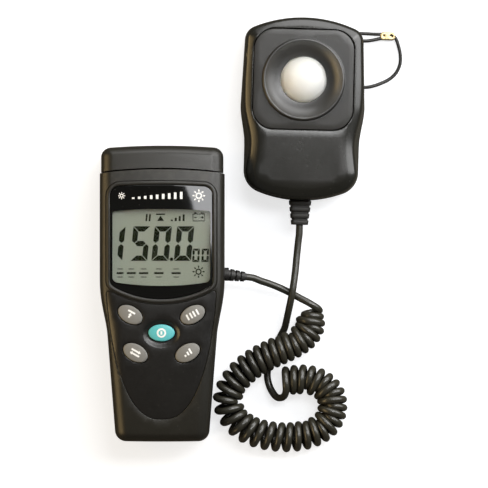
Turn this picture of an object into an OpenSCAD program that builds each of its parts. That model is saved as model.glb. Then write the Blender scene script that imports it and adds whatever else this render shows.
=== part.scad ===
// Hand-held lux meter with a separate light detector on a curly cord, lying on its back.
// +X is to the right of the face, +Y towards the head, +Z out of the face, in millimetres.
// The origin is the middle of the meter's back, on the surface that everything lies on.

/* [Meter housing] */
// Overall length
meter_length = 130; // [126:1:150]
// Width across the display
head_width = 54.6; // [54:0.2:60]
// Width of the grip near the foot
grip_width = 42; // [41.6:0.2:46]
// Width of the grip where the shoulders begin
shoulder_width = 48; // [46:0.2:50]
// Distance from the head end to where the shoulders end
shoulder_top = 59; // [56:1:66]
// Length of the shoulders
shoulder_length = 24; // [18:1:32]
// Thickness at the highest point of the arched face
meter_height = 38; // [37:0.5:44]
// Radius of the arched face, seen from the side
face_arch = 420; // [380:10:900]
// Distance from the head end to the highest point
arch_peak = 43; // [36:1:50]
// Height of the seam between the two shells
seam_height = 16; // [15:0.5:18]
// Thickness of the side walls
side_wall = 2.2; // [1.8:0.1:2.6]
// Thickness of the face
face_wall = 3.2; // [3:0.1:3.6]
// Thickness of the back
back_wall = 3; // [2.8:0.1:3.4]
// Corner radius seen from the front
plan_corner = 5; // [4.9:0.1:6.5]
// Rounding of the face's edge
face_edge = 4.2; // [3:0.1:4.4]
// Rounding of the back's edge
back_edge = 3.6; // [2.6:0.1:4.2]
// Lean of each side wall from the seam to the rounding
draft = 0.5; // [0.2:0.1:0.7]
// Depth of the parting line
parting = 0.3; // [0.1:0.05:0.4]

/* [Head cap] */
// Length of the cap
cap_length = 11.2; // [10:0.2:13]
// How far the cap stands back from the shells
cap_step = 0.55; // [0.2:0.05:0.8]
// Radius of the curved joint
cap_joint = 210; // [150:10:600]
// Gap at the joint
cap_gap = 0.5; // [0.3:0.1:0.8]
// Length of the spigot that the cap seats on
spigot_length = 4.5; // [3:0.5:6]

/* [Display] */
// Width of the clear window
window_width = 44.4; // [44:0.2:45]
// Distance from the head end to the window
window_from_head = 18; // [17:0.5:20]
// Length of the window
window_length = 49.4; // [48:0.2:51]
// Radius of the window's curved foot
window_foot = 43; // [40:1:60]
// Thickness of the window
window_thickness = 1.2; // [0.8:0.1:1.4]
// How far the window lies below the face
window_recess = 0.4; // [0.2:0.1:0.5]
// Thickness of the adhesive frame under the window
gasket_thickness = 0.3; // [0.2:0.1:0.4]
// Width of the raised rim round the window
rim_width = 1.7; // [1.2:0.1:2]
// Width of the moulded line round the rim
rim_line = 0.5; // [0.3:0.1:0.6]
// Width of the visible display
view_width = 42.4; // [38:0.2:42.6]
// Length of the visible display
view_length = 33.2; // [30:0.2:34]
// Distance from the head end to the visible display
view_from_head = 28.5; // [28:0.5:30]
// Thickness of the display glass
lcd_thickness = 2.8; // [2:0.1:3]

/* [Keys] */
// Length of a key
key_length = 11.5; // [10:0.1:12]
// Width of a key
key_width = 7.4; // [6.6:0.1:7.8]
// How far a key stands above the panel
key_proud = 1; // [0.8:0.1:1.6]
// Travel of a key
key_travel = 1; // [0.6:0.1:1.2]
// Gap round a key
key_gap = 0.3; // [0.2:0.05:0.4]
// Slant of the outer keys, in degrees
key_slant = 29; // [0:1:35]
// Distance between the upper keys
upper_keys_apart = 27; // [26:0.5:28]
// Distance between the lower keys
lower_keys_apart = 22.6; // [21:0.2:24]
// Distance from the head end to the upper keys
upper_keys_from_head = 74.2; // [73.6:0.2:75]
// Distance from the head end to the power key
power_key_from_head = 82.1; // [81.5:0.1:82.6]
// Distance from the head end to the lower keys
lower_keys_from_head = 90.7; // [90:0.2:94]

/* [Key panel] */
// Width of the shield-shaped panel
panel_width = 47.6; // [46:0.2:48]
// Distance from the head end to the panel's foot
panel_from_head = 119.7; // [116:0.5:121]
// Thickness of the panel
panel_thickness = 1.6; // [1.2:0.1:1.8]
// How far the panel lies below the face
panel_recess = 0.3; // [0.1:0.1:0.5]
// Length of the dish round the power key
dish_length = 15.6; // [14:0.2:16]
// Width of the dish round the power key
dish_width = 11.4; // [10:0.2:12]
// Depth of the dish
dish_depth = 0.9; // [0.4:0.1:1]

/* [Battery bay] */
// Width of the battery block
battery_width = 26.5; // [25:0.5:27]
// Thickness of the battery block
battery_thickness = 17.5; // [15:0.5:18]
// Length of the battery block
battery_length = 46.4; // [44:0.2:47]
// Gap round the battery
battery_gap = 0.5; // [0.3:0.1:0.8]
// Width of the door
door_width = 29; // [28.6:0.2:30]
// Length of the door
door_length = 56; // [54:0.5:57]
// Thickness of the door
door_thickness = 2.2; // [1.8:0.1:2.3]
// Height of the door's lip at the foot
door_lip = 7; // [6:0.5:9]
// Gap round the door
door_gap = 0.25; // [0.2:0.05:0.35]

/* [Boards and fasteners] */
// Thickness of the circuit boards
board_thickness = 1.6; // [1:0.1:2]
// Height of the main board above the back
board_height = 23; // [22.8:0.1:24]
// Shank diameter of a case screw
screw_diameter = 2.8; // [2.5:0.1:3]
// Head diameter of a case screw
screw_head = 5; // [4.6:0.2:5.4]
// Shank diameter of a board screw
board_screw = 1.8; // [1.6:0.1:2]

/* [Detector] */
// Length of the detector housing
probe_length = 80.4; // [79:0.2:90]
// Greatest width
probe_width = 54.4; // [54:0.2:60]
// Width at the waist, where the thumb rests
waist_width = 50.3; // [49.6:0.1:52]
// How much the side narrows for each millimetre towards the head
probe_taper = 0.04; // [0.03:0.005:0.06]
// Thickness without the dome
probe_height = 24; // [23:0.5:28]
// Height of the seam
probe_seam = 11; // [10:0.5:12]
// Radius of the curved head
probe_head = 56; // [46:1:80]
// Radius of the curved foot
probe_foot = 52; // [50:1:100]
// Corner radius at the head
probe_head_corner = 6.5; // [6:0.1:8]
// Corner radius at the foot
probe_foot_corner = 10; // [8:0.1:11]
// Rounding of the face's edge
probe_edge = 4.2; // [3:0.1:4.6]
// How far the detector lies turned on the table, clockwise
probe_turn = 1.5; // [0:0.5:3]
// Extra lean of the side at the waist
waist_scoop = 1.6; // [0.5:0.1:2]
// Thickness of the side walls
probe_wall = 2; // [1.6:0.1:2.4]
// Thickness of the face
probe_face = 3.4; // [3.2:0.1:4]
// Size of the square detector plate
plate_size = 43.6; // [42:0.2:44]
// Corner radius of the plate
plate_corner = 9; // [6:0.5:10]
// Thickness of the plate
plate_thickness = 2; // [1.5:0.1:2.2]
// How far the plate lies below the face
plate_recess = 0.6; // [0.3:0.1:0.8]
// Gap round the plate
plate_gap = 0.35; // [0.2:0.05:0.5]
// Distance of the plate's middle from the housing's middle
plate_offset = 13.4; // [12.8:0.1:14]
// Outer diameter of the raised ring
ring_diameter = 36; // [34:0.5:38]
// Height of the ring above the plate
ring_height = 2; // [1:0.1:3]
// Diameter of the white dome
dome_diameter = 20.2; // [18:0.2:21]
// Wall of the dome
dome_wall = 1.5; // [1:0.1:2]
// Depth of the bowl below the plate
bowl_depth = 5.4; // [4:0.2:5.6]

/* [Cord] */
// Diameter of the cord
cord_diameter = 2.8; // [2.4:0.1:2.9]
// Outer diameter of a curl
curl_diameter = 13.3; // [12.8:0.1:13.6]
// Curls between two points of the coil's centre line
curls_per_point = 3; // [2:1:3]
// Gap that the curls keep inside a tight bend
curl_gap = 0.8; // [0.75:0.05:0.9]
// Length of the ribbed sleeve at the meter
sleeve_length = 9.6; // [8:0.2:12]
// Diameter of the ribbed sleeve at the meter
sleeve_diameter = 5.8; // [5:0.1:6.4]
// Length of the flat sleeve at the detector
flat_sleeve_length = 11.4; // [10:0.2:14]
// Width of the flat sleeve where it leaves the detector
flat_sleeve_width = 9.7; // [9:0.1:11]
// Diameter of the tether
tether_diameter = 1.5; // [1.2:0.1:1.6]

/* [Hidden] */
$fn = 48;

// Colours as the photograph shows them
shell_black = [0.16, 0.155, 0.145];
panel_black = [0.13, 0.125, 0.12];
key_grey = [0.6, 0.58, 0.54];
power_teal = [0.36, 0.74, 0.76];
lcd_green = [0.6, 0.62, 0.54];
board_green = [0.1, 0.36, 0.2];
rubber_black = [0.1, 0.095, 0.09];
dome_white = [0.94, 0.93, 0.9];
steel = [0.7, 0.7, 0.68];
brass = [0.78, 0.62, 0.3];

// Places measured from the two ends of the meter
head_y = meter_length / 2;
foot_y = -head_y;
joint_y = head_y - cap_length;
window_top_y = head_y - window_from_head;
window_foot_y = window_top_y - window_length;
view_top_y = head_y - view_from_head;
view_foot_y = view_top_y - view_length;
view_mid_y = (view_top_y + view_foot_y) / 2;
upper_keys_y = head_y - upper_keys_from_head;
lower_keys_y = head_y - lower_keys_from_head;
power_key_y = head_y - power_key_from_head;
panel_foot_y = head_y - panel_from_head;
peak_y = head_y - arch_peak;

clear = 0.3;
slight = 0.15;
through = 100;
shoulder_top_y = head_y - shoulder_top;
shoulder_foot_y = shoulder_top_y - shoulder_length;
grip_y = foot_y + 9;
bulkhead = 2.4;
inner_edge = 1.2;
edge_steps = 4;
arch_steps = 26;

// Height of the arched face over a place along the meter
face_z = function (y) meter_height - face_arch + sqrt(face_arch * face_arch - (y - peak_y) * (y - peak_y));
back_z = function (y) 0;

function smooth_step(from, to, v) =
    let (t = min(1, max(0, (v - from) / (to - from)))) t * t * (3 - 2 * t);

function grip_half(y) =
    grip_width / 2 + (shoulder_width - grip_width) / 2 * (y - grip_y) / (shoulder_foot_y - grip_y);

// Half width of the meter: a tapering grip that swells into the head
meter_half = function (y)
    let (grip = grip_half(y))
    grip + (head_width / 2 - grip) * smooth_step(shoulder_foot_y, shoulder_top_y, y);

// Corner arc between a side and a crowned end: its centre, radius and where it meets the crown
sharpest = 0.4;
function corner_arc(width, end, way, crown, corner, inset) =
    let (
        radius = max(corner - inset, sharpest),
        reach = crown - inset - radius,
        guess_x = width(end - way * corner) - inset - radius,
        guess_y = end - way * (crown - sqrt(reach * reach - guess_x * guess_x)),
        x = width(guess_y) - inset - radius
    )
    [x, end - way * (crown - sqrt(reach * reach - x * x)), radius, asin(x / reach)];

// Right half of a plan outline from the foot to the head, with crowned ends and round corners
crown_steps = 3;
corner_steps = 4;
function half_outline(width, ends, crowns, corners, inset, side_steps) =
    let (
        foot = corner_arc(width, ends[0], -1, crowns[0], corners[0], inset),
        head = corner_arc(width, ends[1], 1, crowns[1], corners[1], inset)
    )
    concat(
        [for (i = [0 : crown_steps - 1])
            let (a = foot[3] * i / crown_steps, r = crowns[0] - inset)
            [r * sin(a), ends[0] + crowns[0] - r * cos(a)]],
        [for (i = [0 : corner_steps])
            let (a = foot[3] + (90 - foot[3]) * i / corner_steps)
            [foot[0] + foot[2] * sin(a), foot[1] - foot[2] * cos(a)]],
        [for (i = [1 : side_steps - 1])
            let (y = foot[1] + (head[1] - foot[1]) * i / side_steps)
            [width(y) - inset, y]],
        [for (i = [0 : corner_steps])
            let (a = head[3] + (90 - head[3]) * (1 - i / corner_steps))
            [head[0] + head[2] * sin(a), head[1] + head[2] * cos(a)]],
        [for (i = [crown_steps - 1 : -1 : 0])
            let (a = head[3] * i / crown_steps, r = crowns[1] - inset)
            [r * sin(a), ends[1] - crowns[1] + r * cos(a)]]
    );

// Whole outline, with the left half as the mirror image of the right
function both_halves(half) = concat(half, [for (i = [len(half) - 2 : -1 : 1]) [-half[i][0], half[i][1]]]);

function lifted(ring, height) = [for (p = ring) [p[0], p[1], height(p[1])]];

function reversed(list) = [for (i = [len(list) - 1 : -1 : 0]) list[i]];

// Rings of a moulded half from its seam to its face: a leaning wall, then a rounded edge.
// Sign is 1 where the face is above the seam and -1 where it is below.
function moulded_rings(outline, seam, face, sign, lean, edge, groove) =
    concat(
        groove > 0 ? [lifted(outline(groove), function (y) seam)] : [],
        [lifted(outline(0), function (y) seam + sign * groove)],
        [for (i = [0 : edge_steps])
            let (a = 90 * i / edge_steps)
            lifted(outline(lean + edge * (1 - cos(a))), function (y) face(y) - sign * edge * (1 - sin(a)))]
    );

// Closed skin over matching rings, lowest first. Strips straight across close the ends and keep an arch.
module skin(rings) {
    count = len(rings[0]);
    half = count / 2;
    top = (len(rings) - 1) * count;
    walls = [for (level = [0 : len(rings) - 2], i = [0 : count - 1])
        let (j = (i + 1) % count, low = level * count, high = low + count)
        each [[low + i, high + i, high + j], [low + i, high + j, low + j]]];
    strips = [for (i = [0 : half - 1])
        let (left = (count - i) % count, next = (count - i - 1) % count)
        each concat(i < half - 1 ? [[left, next, i + 1]] : [], i > 0 ? [[left, i + 1, i]] : [])];
    lids = [for (t = strips) each [[t[0] + top, t[1] + top, t[2] + top], [t[2], t[1], t[0]]]];
    polyhedron(points = [for (ring = rings) each ring], faces = concat(walls, lids));
}

// Outline of the two shells, whose end at the cap stays put, and of the cap and the hollow inside them
side_steps = 18;
shell_crown = 900;
shell_outline = function (inset) both_halves(half_outline(
    meter_half, [foot_y, joint_y + inset], [shell_crown, cap_joint + inset],
    [plan_corner, sharpest + inset], inset, side_steps));
hollow_outline = function (inset) both_halves(half_outline(
    meter_half, [foot_y, joint_y - bulkhead + side_wall], [shell_crown, cap_joint],
    [plan_corner, plan_corner], inset + side_wall, side_steps));
cap_root_y = joint_y - 2 * plan_corner;
cap_steps = 4;
head_crown = 300;
cap_outline = function (inset) both_halves(half_outline(
    meter_half, [cap_root_y, head_y], [shell_crown, head_crown],
    [sharpest, plan_corner], inset + cap_step, cap_steps));

module front_half() {
    skin(moulded_rings(shell_outline, seam_height, face_z, 1, draft, face_edge, parting));
}

module front_hollow() {
    skin(moulded_rings(
        hollow_outline, seam_height - 1, function (y) face_z(y) - face_wall, 1, draft, inner_edge, 0));
}

module rear_half() {
    skin(reversed(moulded_rings(shell_outline, seam_height, back_z, -1, draft, back_edge, parting)));
}

module rear_hollow() {
    skin(reversed(moulded_rings(
        hollow_outline, seam_height + 1, function (y) back_wall, -1, draft, inner_edge, 0)));
}

// Slab that follows the arched face between two depths below it
module face_slab(deep, shallow) {
    places = [for (i = [0 : arch_steps]) foot_y + meter_length * i / arch_steps];
    rotate([90, 0, 90])
        linear_extrude(height = through, center = true)
            polygon(concat(
                [for (y = places) [y, face_z(y) - deep]],
                [for (y = reversed(places)) [y, face_z(y) - shallow]]));
}

module upright(low, high) {
    translate([0, 0, low]) linear_extrude(height = high - low) children();
}

// Rectangle with round corners, centred
module soft_rectangle(width, length, corner) {
    across = max(width - 2 * corner, 0.01);
    along = max(length - 2 * corner, 0.01);
    square([width, along], center = true);
    square([across, length], center = true);
    for (x = [-1, 1], y = [-1, 1]) {
        translate([x * across / 2, y * along / 2]) circle(r = corner);
    }
}

function ellipse_points(length, width) =
    let (steps = 36)
    [for (i = [0 : steps - 1]) [length / 2 * cos(360 * i / steps), width / 2 * sin(360 * i / steps)]];

// Window, rim and panel share the window's outline and the curve of its foot
window_head = 330;
window_corners = [3, 4.2];
module window_shape(grow) {
    polygon(both_halves(half_outline(
        function (y) window_width / 2, [window_foot_y, window_top_y], [window_foot, window_head],
        window_corners, -grow, 3)));
}

module view_shape(grow) {
    translate([0, view_mid_y]) soft_rectangle(view_width + 2 * grow, view_length + 2 * grow, 1 + grow);
}

panel_gap = 0.2;
panel_corner = 1.2;
panel_round = 0.4;
panel_swell = 1.6;
module panel_shape(grow) {
    curve = window_foot + rim_width + rim_line + panel_gap;
    centre_y = window_foot_y + window_foot;
    half = panel_width / 2;
    shoulder_y = centre_y - sqrt(curve * curve - half * half);
    drop = shoulder_y - panel_foot_y;
    steps = 16;
    side = [for (i = [0 : steps])
        let (t = 1 - pow(i / steps, 1.5))
        [half * pow(1 - pow(t, panel_swell), panel_round), shoulder_y - t * drop]];
    top = [for (i = [steps - 1 : -1 : 1 - steps])
        let (x = half * i / steps) [x, centre_y - sqrt(curve * curve - x * x)]];
    offset(r = panel_corner + grow, $fn = 24)
        offset(delta = -panel_corner)
            polygon(concat(side, top, [for (p = reversed(side)) if (p[0] > 0) [-p[0], p[1]]]));
}

// Each key's place and slant
keys = [
    [-upper_keys_apart / 2, upper_keys_y, -key_slant],
    [upper_keys_apart / 2, upper_keys_y, key_slant],
    [-lower_keys_apart / 2, lower_keys_y, -key_slant],
    [lower_keys_apart / 2, lower_keys_y, key_slant],
    [0, power_key_y, 0]
];

module key_shape(key, grow) {
    translate([key[0], key[1]])
        rotate(key[2])
            polygon(ellipse_points(key_length + 2 * grow, key_width + 2 * grow));
}

// The mat and its domes share the room between the board and the flange of the lowest keys
board_top = board_height + board_thickness;
flange_width = 0.9;
flange_thickness = 1;
function flange_top(y) = face_z(y - key_length / 2) - face_wall - key_gap;
key_room = flange_top(lower_keys_y) - flange_thickness - board_top;
mat_share = 0.25;
dome_share = 0.45;
mat_thickness = mat_share * key_room;
dome_height = dome_share * key_room;
dome_flare = 1.2;
plunger_z = board_top + mat_thickness + dome_height;
plunger_radius = 2.2;
key_crown = 22;

// One push key: a crowned cap, a flange under the face that keeps it in, and a plunger on its rubber dome
module key(index) {
    place = keys[index];
    flange = flange_top(place[1]);
    top = face_z(place[1]) - panel_recess + key_proud;
    intersection() {
        upright(flange - flange_thickness, top + 1) key_shape(place, 0);
        translate([place[0], place[1], top - key_crown]) sphere(r = key_crown);
    }
    upright(flange - flange_thickness, flange) key_shape(place, flange_width);
    translate([place[0], place[1], plunger_z])
        cylinder(r = plunger_radius, h = flange - plunger_z - flange_thickness / 2);
}

module max_key() { color(key_grey) key(0); }
module hold_key() { color(key_grey) key(1); }
module unit_key() { color(key_grey) key(2); }
module range_key() { color(key_grey) key(3); }
module power_key() { color(power_teal) key(4); }

module keypad_mat() {
    mat_margin = 4.4;
    mat_top_y = upper_keys_y + mat_margin;
    mat_foot_y = lower_keys_y - mat_margin;
    color(rubber_black) {
        upright(board_top, board_top + mat_thickness)
            translate([0, (mat_top_y + mat_foot_y) / 2])
                soft_rectangle(upper_keys_apart + plunger_radius, mat_top_y - mat_foot_y, 1.5);
        for (place = keys) {
            translate([place[0], place[1], board_top + mat_thickness / 2])
                cylinder(
                    r1 = plunger_radius + dome_flare,
                    r2 = plunger_radius,
                    h = plunger_z - board_top - mat_thickness / 2);
        }
    }
}

// Case screws go in from the back, through posts in the rear shell, into bosses under the face
post_wall = 0.7;
boss_wall = 1.5;
post_radius = screw_head / 2 + post_wall;
boss_radius = screw_diameter / 2 + boss_wall;
screw_head_height = 2;
screw_sink = 3;
post_from_end = 1.8;
post_from_side = 1.1;
upper_screws_y = joint_y - bulkhead - post_radius - post_from_end;
lower_screws_y = window_foot_y - 0.2;
case_screw_places = [for (x = [-1, 1], y = [upper_screws_y, lower_screws_y])
    [x * (head_width / 2 - side_wall - draft - post_radius - post_from_side), y]];

module screw_head_hole() {
    translate([0, 0, -1]) cylinder(d = screw_head + clear, h = screw_sink + screw_head_height + 1 + slight);
}

module at_case_screws() {
    for (place = case_screw_places) {
        translate([place[0], place[1], 0]) children();
    }
}

// Screw with its head at the bottom, and the room that it needs
module screw(diameter, head, head_height, length) {
    cylinder(d = head, h = head_height);
    cylinder(d = diameter, h = length);
}

case_screw_length = 20;
module case_screws() {
    color(steel)
        at_case_screws()
            translate([0, 0, screw_sink])
                screw(screw_diameter, screw_head, screw_head_height, case_screw_length);
}

// Board screws go up through the main board into short bosses under the face
board_boss = board_screw / 2 + 1.3;
board_screw_head = 3.4;
board_head_height = 1.2;
board_top_y = joint_y - bulkhead - 5.8;
board_foot_y = lower_keys_y - 24.2;
foot_screw_y = board_foot_y + 3.4;
board_screw_places = [for (x = [-1, 1])
    for (p = [[11, board_top_y - 2.4], [8, foot_screw_y]]) [x * p[0], p[1]]];

// They end half way up the room between the board and the seat of the key panel
screw_share = 0.5;
boss_room = face_z(foot_screw_y) - panel_recess - panel_thickness - board_top;
board_screw_length = board_head_height + board_thickness + screw_share * boss_room;

module board_screws() {
    color(steel)
        for (place = board_screw_places) {
            translate([place[0], place[1], board_height - board_head_height])
                screw(board_screw, board_screw_head, board_head_height, board_screw_length);
        }
}

// Half of the spigot at the head end that the cap slides over
spigot_margin = 5.5;
spigot_corner = 3;
spigot_low = spigot_margin;
spigot_high = face_z(joint_y) - spigot_margin;
spigot_width = head_width - 2 * cap_step - 2 * spigot_margin;
module spigot_block(grow, from, to) {
    translate([0, to, (spigot_low + spigot_high) / 2])
        rotate([90, 0, 0])
            linear_extrude(height = to - from)
                soft_rectangle(
                    spigot_width + 2 * grow, spigot_high - spigot_low + 2 * grow, spigot_corner + grow);
}

module half_spigot(low, high) {
    difference() {
        intersection() {
            spigot_block(0, joint_y - bulkhead, joint_y + spigot_length);
            translate([-through / 2, 0, low]) cube([through, through, high - low]);
        }
        spigot_block(-side_wall, joint_y - slight, head_y);
    }
}

// The cord's ribbed sleeve leaves the meter's right side at the seam
sleeve_y = head_y - 56.8;
sleeve_neck = sleeve_diameter / 2 - 0.3;
module sleeve_hole() {
    translate([head_width / 2 - 2 * side_wall - 2, sleeve_y, seam_height])
        rotate([0, 90, 0]) cylinder(r = sleeve_neck + slight, h = 20);
}

module front_shell() {
    depth = window_recess + window_thickness + gasket_thickness;
    color(shell_black)
        difference() {
            union() {
                difference() {
                    front_half();
                    front_hollow();
                }
                half_spigot(seam_height, through);
                for (place = case_screw_places) {
                    upright(seam_height, face_z(place[1]) - face_wall + slight)
                        translate(place) circle(r = boss_radius);
                }
                for (place = board_screw_places) {
                    upright(board_top, face_z(place[1]) - face_wall + slight)
                        translate(place) circle(r = board_boss);
                }
            }
            intersection() {
                upright(seam_height, through) window_shape(slight);
                face_slab(depth, -2);
            }
            intersection() {
                upright(seam_height, through) panel_shape(slight);
                face_slab(panel_recess + panel_thickness, -2);
            }
            intersection() {
                upright(seam_height, through)
                    difference() {
                        window_shape(rim_width + rim_line);
                        window_shape(rim_width);
                    }
                face_slab(rim_line, -2);
            }
            upright(meter_height - 3 * face_wall, through) view_shape(0);
            for (place = keys) {
                upright(seam_height + 4, through) key_shape(place, key_gap);
            }
            at_case_screws()
                cylinder(d = screw_diameter + slight, h = screw_sink + case_screw_length + clear);
            for (place = board_screw_places) {
                translate([place[0], place[1], board_height])
                    cylinder(d = board_screw + slight, h = board_screw_length - board_head_height + slight);
            }
            sleeve_hole();
        }
}

// The battery lies against the back, behind a door that slides out at the foot
door_rail = 1.5;
rail_thickness = 1;
door_head_y = foot_y + door_length;
bay_foot_y = foot_y + side_wall + 0.4;
battery_foot_y = bay_foot_y + battery_gap;
battery_head_y = battery_foot_y + battery_length;
snap_length = 4.6;
bay_head_y = battery_head_y + snap_length + 2 * battery_gap;
battery_low = door_thickness + battery_gap;
bay_half = battery_width / 2 + battery_gap;
bay_wall = 1.4;
bay_height = 12;

// Plan of the door's slot or, with no gap, of the door: a plate with a thinner rail on each side
module door_section(gap) {
    square([door_width + 2 * gap, 2 * (door_thickness + gap)], center = true);
    translate([0, door_thickness - rail_thickness / 2])
        square([door_width + 2 * door_rail + 2 * gap, rail_thickness + 2 * gap], center = true);
}

module rear_shell() {
    color(shell_black)
        difference() {
            union() {
                difference() {
                    rear_half();
                    rear_hollow();
                }
                half_spigot(0, seam_height);
                for (place = case_screw_places) {
                    upright(slight, seam_height) translate(place) circle(r = post_radius);
                }
                for (x = [-1, 1]) {
                    translate([x * (bay_half + bay_wall / 2), (bay_foot_y + bay_head_y + bay_wall) / 2, 0])
                        upright(back_wall / 2, bay_height)
                            square([bay_wall, bay_head_y + bay_wall - bay_foot_y + slight], center = true);
                }
                translate([0, bay_head_y + bay_wall / 2, 0])
                    upright(back_wall / 2, bay_height)
                        square([2 * bay_half + bay_wall, bay_wall], center = true);
            }
            translate([0, door_head_y + door_gap, 0])
                rotate([90, 0, 0])
                    linear_extrude(height = meter_length) door_section(door_gap);
            translate([-bay_half, battery_foot_y - battery_gap, -1])
                cube([2 * bay_half, door_head_y - bay_foot_y - 2, back_wall + inner_edge + 2]);
            translate([-door_width / 2 - door_gap, foot_y - 1, -1])
                cube([door_width + 2 * door_gap, side_wall + 1.8, door_lip + door_gap + 1]);
            at_case_screws() {
                screw_head_hole();
                cylinder(d = screw_diameter + clear, h = through);
            }
            sleeve_hole();
        }
}

// Side view of the door: a flat plate whose foot turns up in the curve of the back's edge
module door_profile() {
    inner_y = foot_y + side_wall + 0.3;
    bend = [for (i = [0 : 6]) let (a = 90 * i / 6)
        [foot_y + draft + back_edge * (1 - sin(a)), back_edge * (1 - cos(a))]];
    lip_y = foot_y + draft * (1 - (door_lip - back_edge) / (seam_height - back_edge));
    polygon(concat(
        [[door_head_y, door_thickness], [door_head_y, 0]],
        bend,
        [[lip_y, door_lip], [inner_y, door_lip], [inner_y, door_thickness]]));
}

module battery_door() {
    grip_ribs = 5;
    rib_from_end = 6;
    rib_pitch = 2;
    rib_depth = 0.4;
    color(shell_black)
        difference() {
            union() {
                rotate([90, 0, 90]) linear_extrude(height = door_width, center = true) door_profile();
                translate([0, door_head_y, door_thickness - rail_thickness])
                    rotate([90, 0, 0])
                        linear_extrude(height = door_length - side_wall - back_edge)
                            translate([-door_width / 2 - door_rail, 0])
                                square([door_width + 2 * door_rail, rail_thickness]);
            }
            for (i = [0 : grip_ribs - 1]) {
                translate([0, door_head_y - rib_from_end - rib_pitch * i, 0])
                    cube([door_width / 2, rib_pitch / 2, 2 * rib_depth], center = true);
            }
        }
}

module battery() {
    corner = 2;
    color([0.25, 0.27, 0.3]) {
        translate([0, battery_head_y, battery_low + battery_thickness / 2])
            rotate([90, 0, 0])
                linear_extrude(height = battery_length)
                    soft_rectangle(battery_width, battery_thickness, corner);
    }
}

// Snap that clips on the battery's two terminals
snap_spacing = 12.7;
stud_radius = 3;
stud_difference = 0.6;
module battery_snap() {
    thickness = 3;
    middle_z = battery_low + battery_thickness / 2;
    color(rubber_black) {
        translate([0, battery_head_y + snap_length, middle_z])
            rotate([90, 0, 0]) linear_extrude(height = thickness) soft_rectangle(battery_width - 1, 12, 3);
        for (x = [-1, 1]) {
            translate([x * snap_spacing / 2, battery_head_y, middle_z])
                rotate([-90, 0, 0])
                    cylinder(r = stud_radius + x * stud_difference, h = snap_length - thickness / 2);
        }
    }
}

module head_cap() {
    curve = cap_joint + cap_gap;
    half = head_width / 2 + 1;
    steps = 12;
    arc = [for (i = [0 : steps])
        let (x = half * (2 * i / steps - 1)) [x, joint_y - cap_joint + sqrt(curve * curve - x * x)]];
    rings = concat(
        reversed(moulded_rings(cap_outline, seam_height, function (y) cap_step, -1, draft, back_edge, 0)),
        moulded_rings(
            cap_outline, seam_height + clear, function (y) face_z(y) - cap_step, 1, draft, face_edge, 0));
    color(shell_black)
        difference() {
            skin(rings);
            upright(-1, through) polygon(concat([[-half, cap_root_y - 1]], arc, [[half, cap_root_y - 1]]));
            spigot_block(slight, joint_y - 3, head_y - side_wall - 1);
        }
}

module window() {
    color([0.55, 0.58, 0.56, 0.35])
        intersection() {
            upright(seam_height, through) window_shape(0);
            face_slab(window_recess + window_thickness, window_recess);
        }
}

module window_gasket() {
    under = window_recess + window_thickness;
    color(rubber_black)
        intersection() {
            upright(seam_height, through)
                difference() {
                    window_shape(0);
                    view_shape(0);
                }
            face_slab(under + gasket_thickness, under);
        }
}

module key_panel() {
    dish_slope = 0.6;
    face = face_z(power_key_y);
    color(panel_black)
        difference() {
            intersection() {
                upright(seam_height, through) panel_shape(0);
                face_slab(panel_recess + panel_thickness, panel_recess);
                translate([0, 0, -panel_recess]) front_half();
            }
            for (place = keys) {
                upright(seam_height, through) key_shape(place, key_gap);
            }
            translate([0, power_key_y, face - panel_recess - dish_depth])
                hull() {
                    linear_extrude(height = 0.02)
                        polygon(ellipse_points(dish_length - 2 * dish_slope, dish_width - 2 * dish_slope));
                    translate([0, 0, 2 * dish_depth])
                        linear_extrude(height = 0.02)
                            polygon(ellipse_points(
                                dish_length + 2 * dish_slope, dish_width + 2 * dish_slope));
                }
        }
}

// Display glass in its frame, close under the window, on two rubber connectors that stand on the board
lcd_margin = 2.2;
lcd_low = min(face_z(view_top_y + lcd_margin), face_z(view_foot_y - lcd_margin))
    - face_wall - slight - lcd_thickness;
lcd_width = min(view_width + lcd_margin, head_width - 2 * side_wall - 2 * draft - 2.6);
lcd_length = view_length + 2 * lcd_margin;
connector_thickness = 2;
frame_wall = 0.9;

module lcd() {
    color(lcd_green)
        translate([0, view_mid_y, lcd_low + lcd_thickness / 2])
            cube([lcd_width, lcd_length, lcd_thickness], center = true);
}

module at_connectors() {
    for (y = [-1, 1]) {
        translate([0, view_mid_y + y * (lcd_length / 2 - connector_thickness / 2 - 0.4)]) children();
    }
}

module lcd_frame() {
    lip = 1.6;
    color(shell_black)
        upright(board_top, lcd_low)
            difference() {
                translate([0, view_mid_y]) square([lcd_width, lcd_length], center = true);
                translate([0, view_mid_y])
                    square(
                        [lcd_width - 2 * lip, lcd_length - 2 * connector_thickness - 2 * lip], center = true);
                at_connectors()
                    square([lcd_width - 2 * frame_wall, connector_thickness + 2 * slight], center = true);
            }
}

module lcd_connectors() {
    color([0.75, 0.5, 0.6])
        upright(board_top, lcd_low)
            at_connectors() square([lcd_width - 2 * frame_wall - 1, connector_thickness], center = true);
}

module main_board() {
    wide = lcd_width / 2;
    narrow = upper_keys_apart / 2 + plunger_radius - 0.3;
    notch = upper_screws_y - post_radius - clear;
    step = lower_screws_y + post_radius + clear;
    right = [
        [narrow, board_foot_y], [narrow, step], [wide, step],
        [wide, notch], [narrow - 1, notch], [narrow - 1, board_top_y]
    ];
    color(board_green)
        upright(board_height, board_top)
            difference() {
                polygon(concat(right, [for (p = reversed(right)) [-p[0], p[1]]]));
                for (place = board_screw_places) {
                    translate(place) circle(d = board_screw + clear);
                }
            }
}

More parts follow.
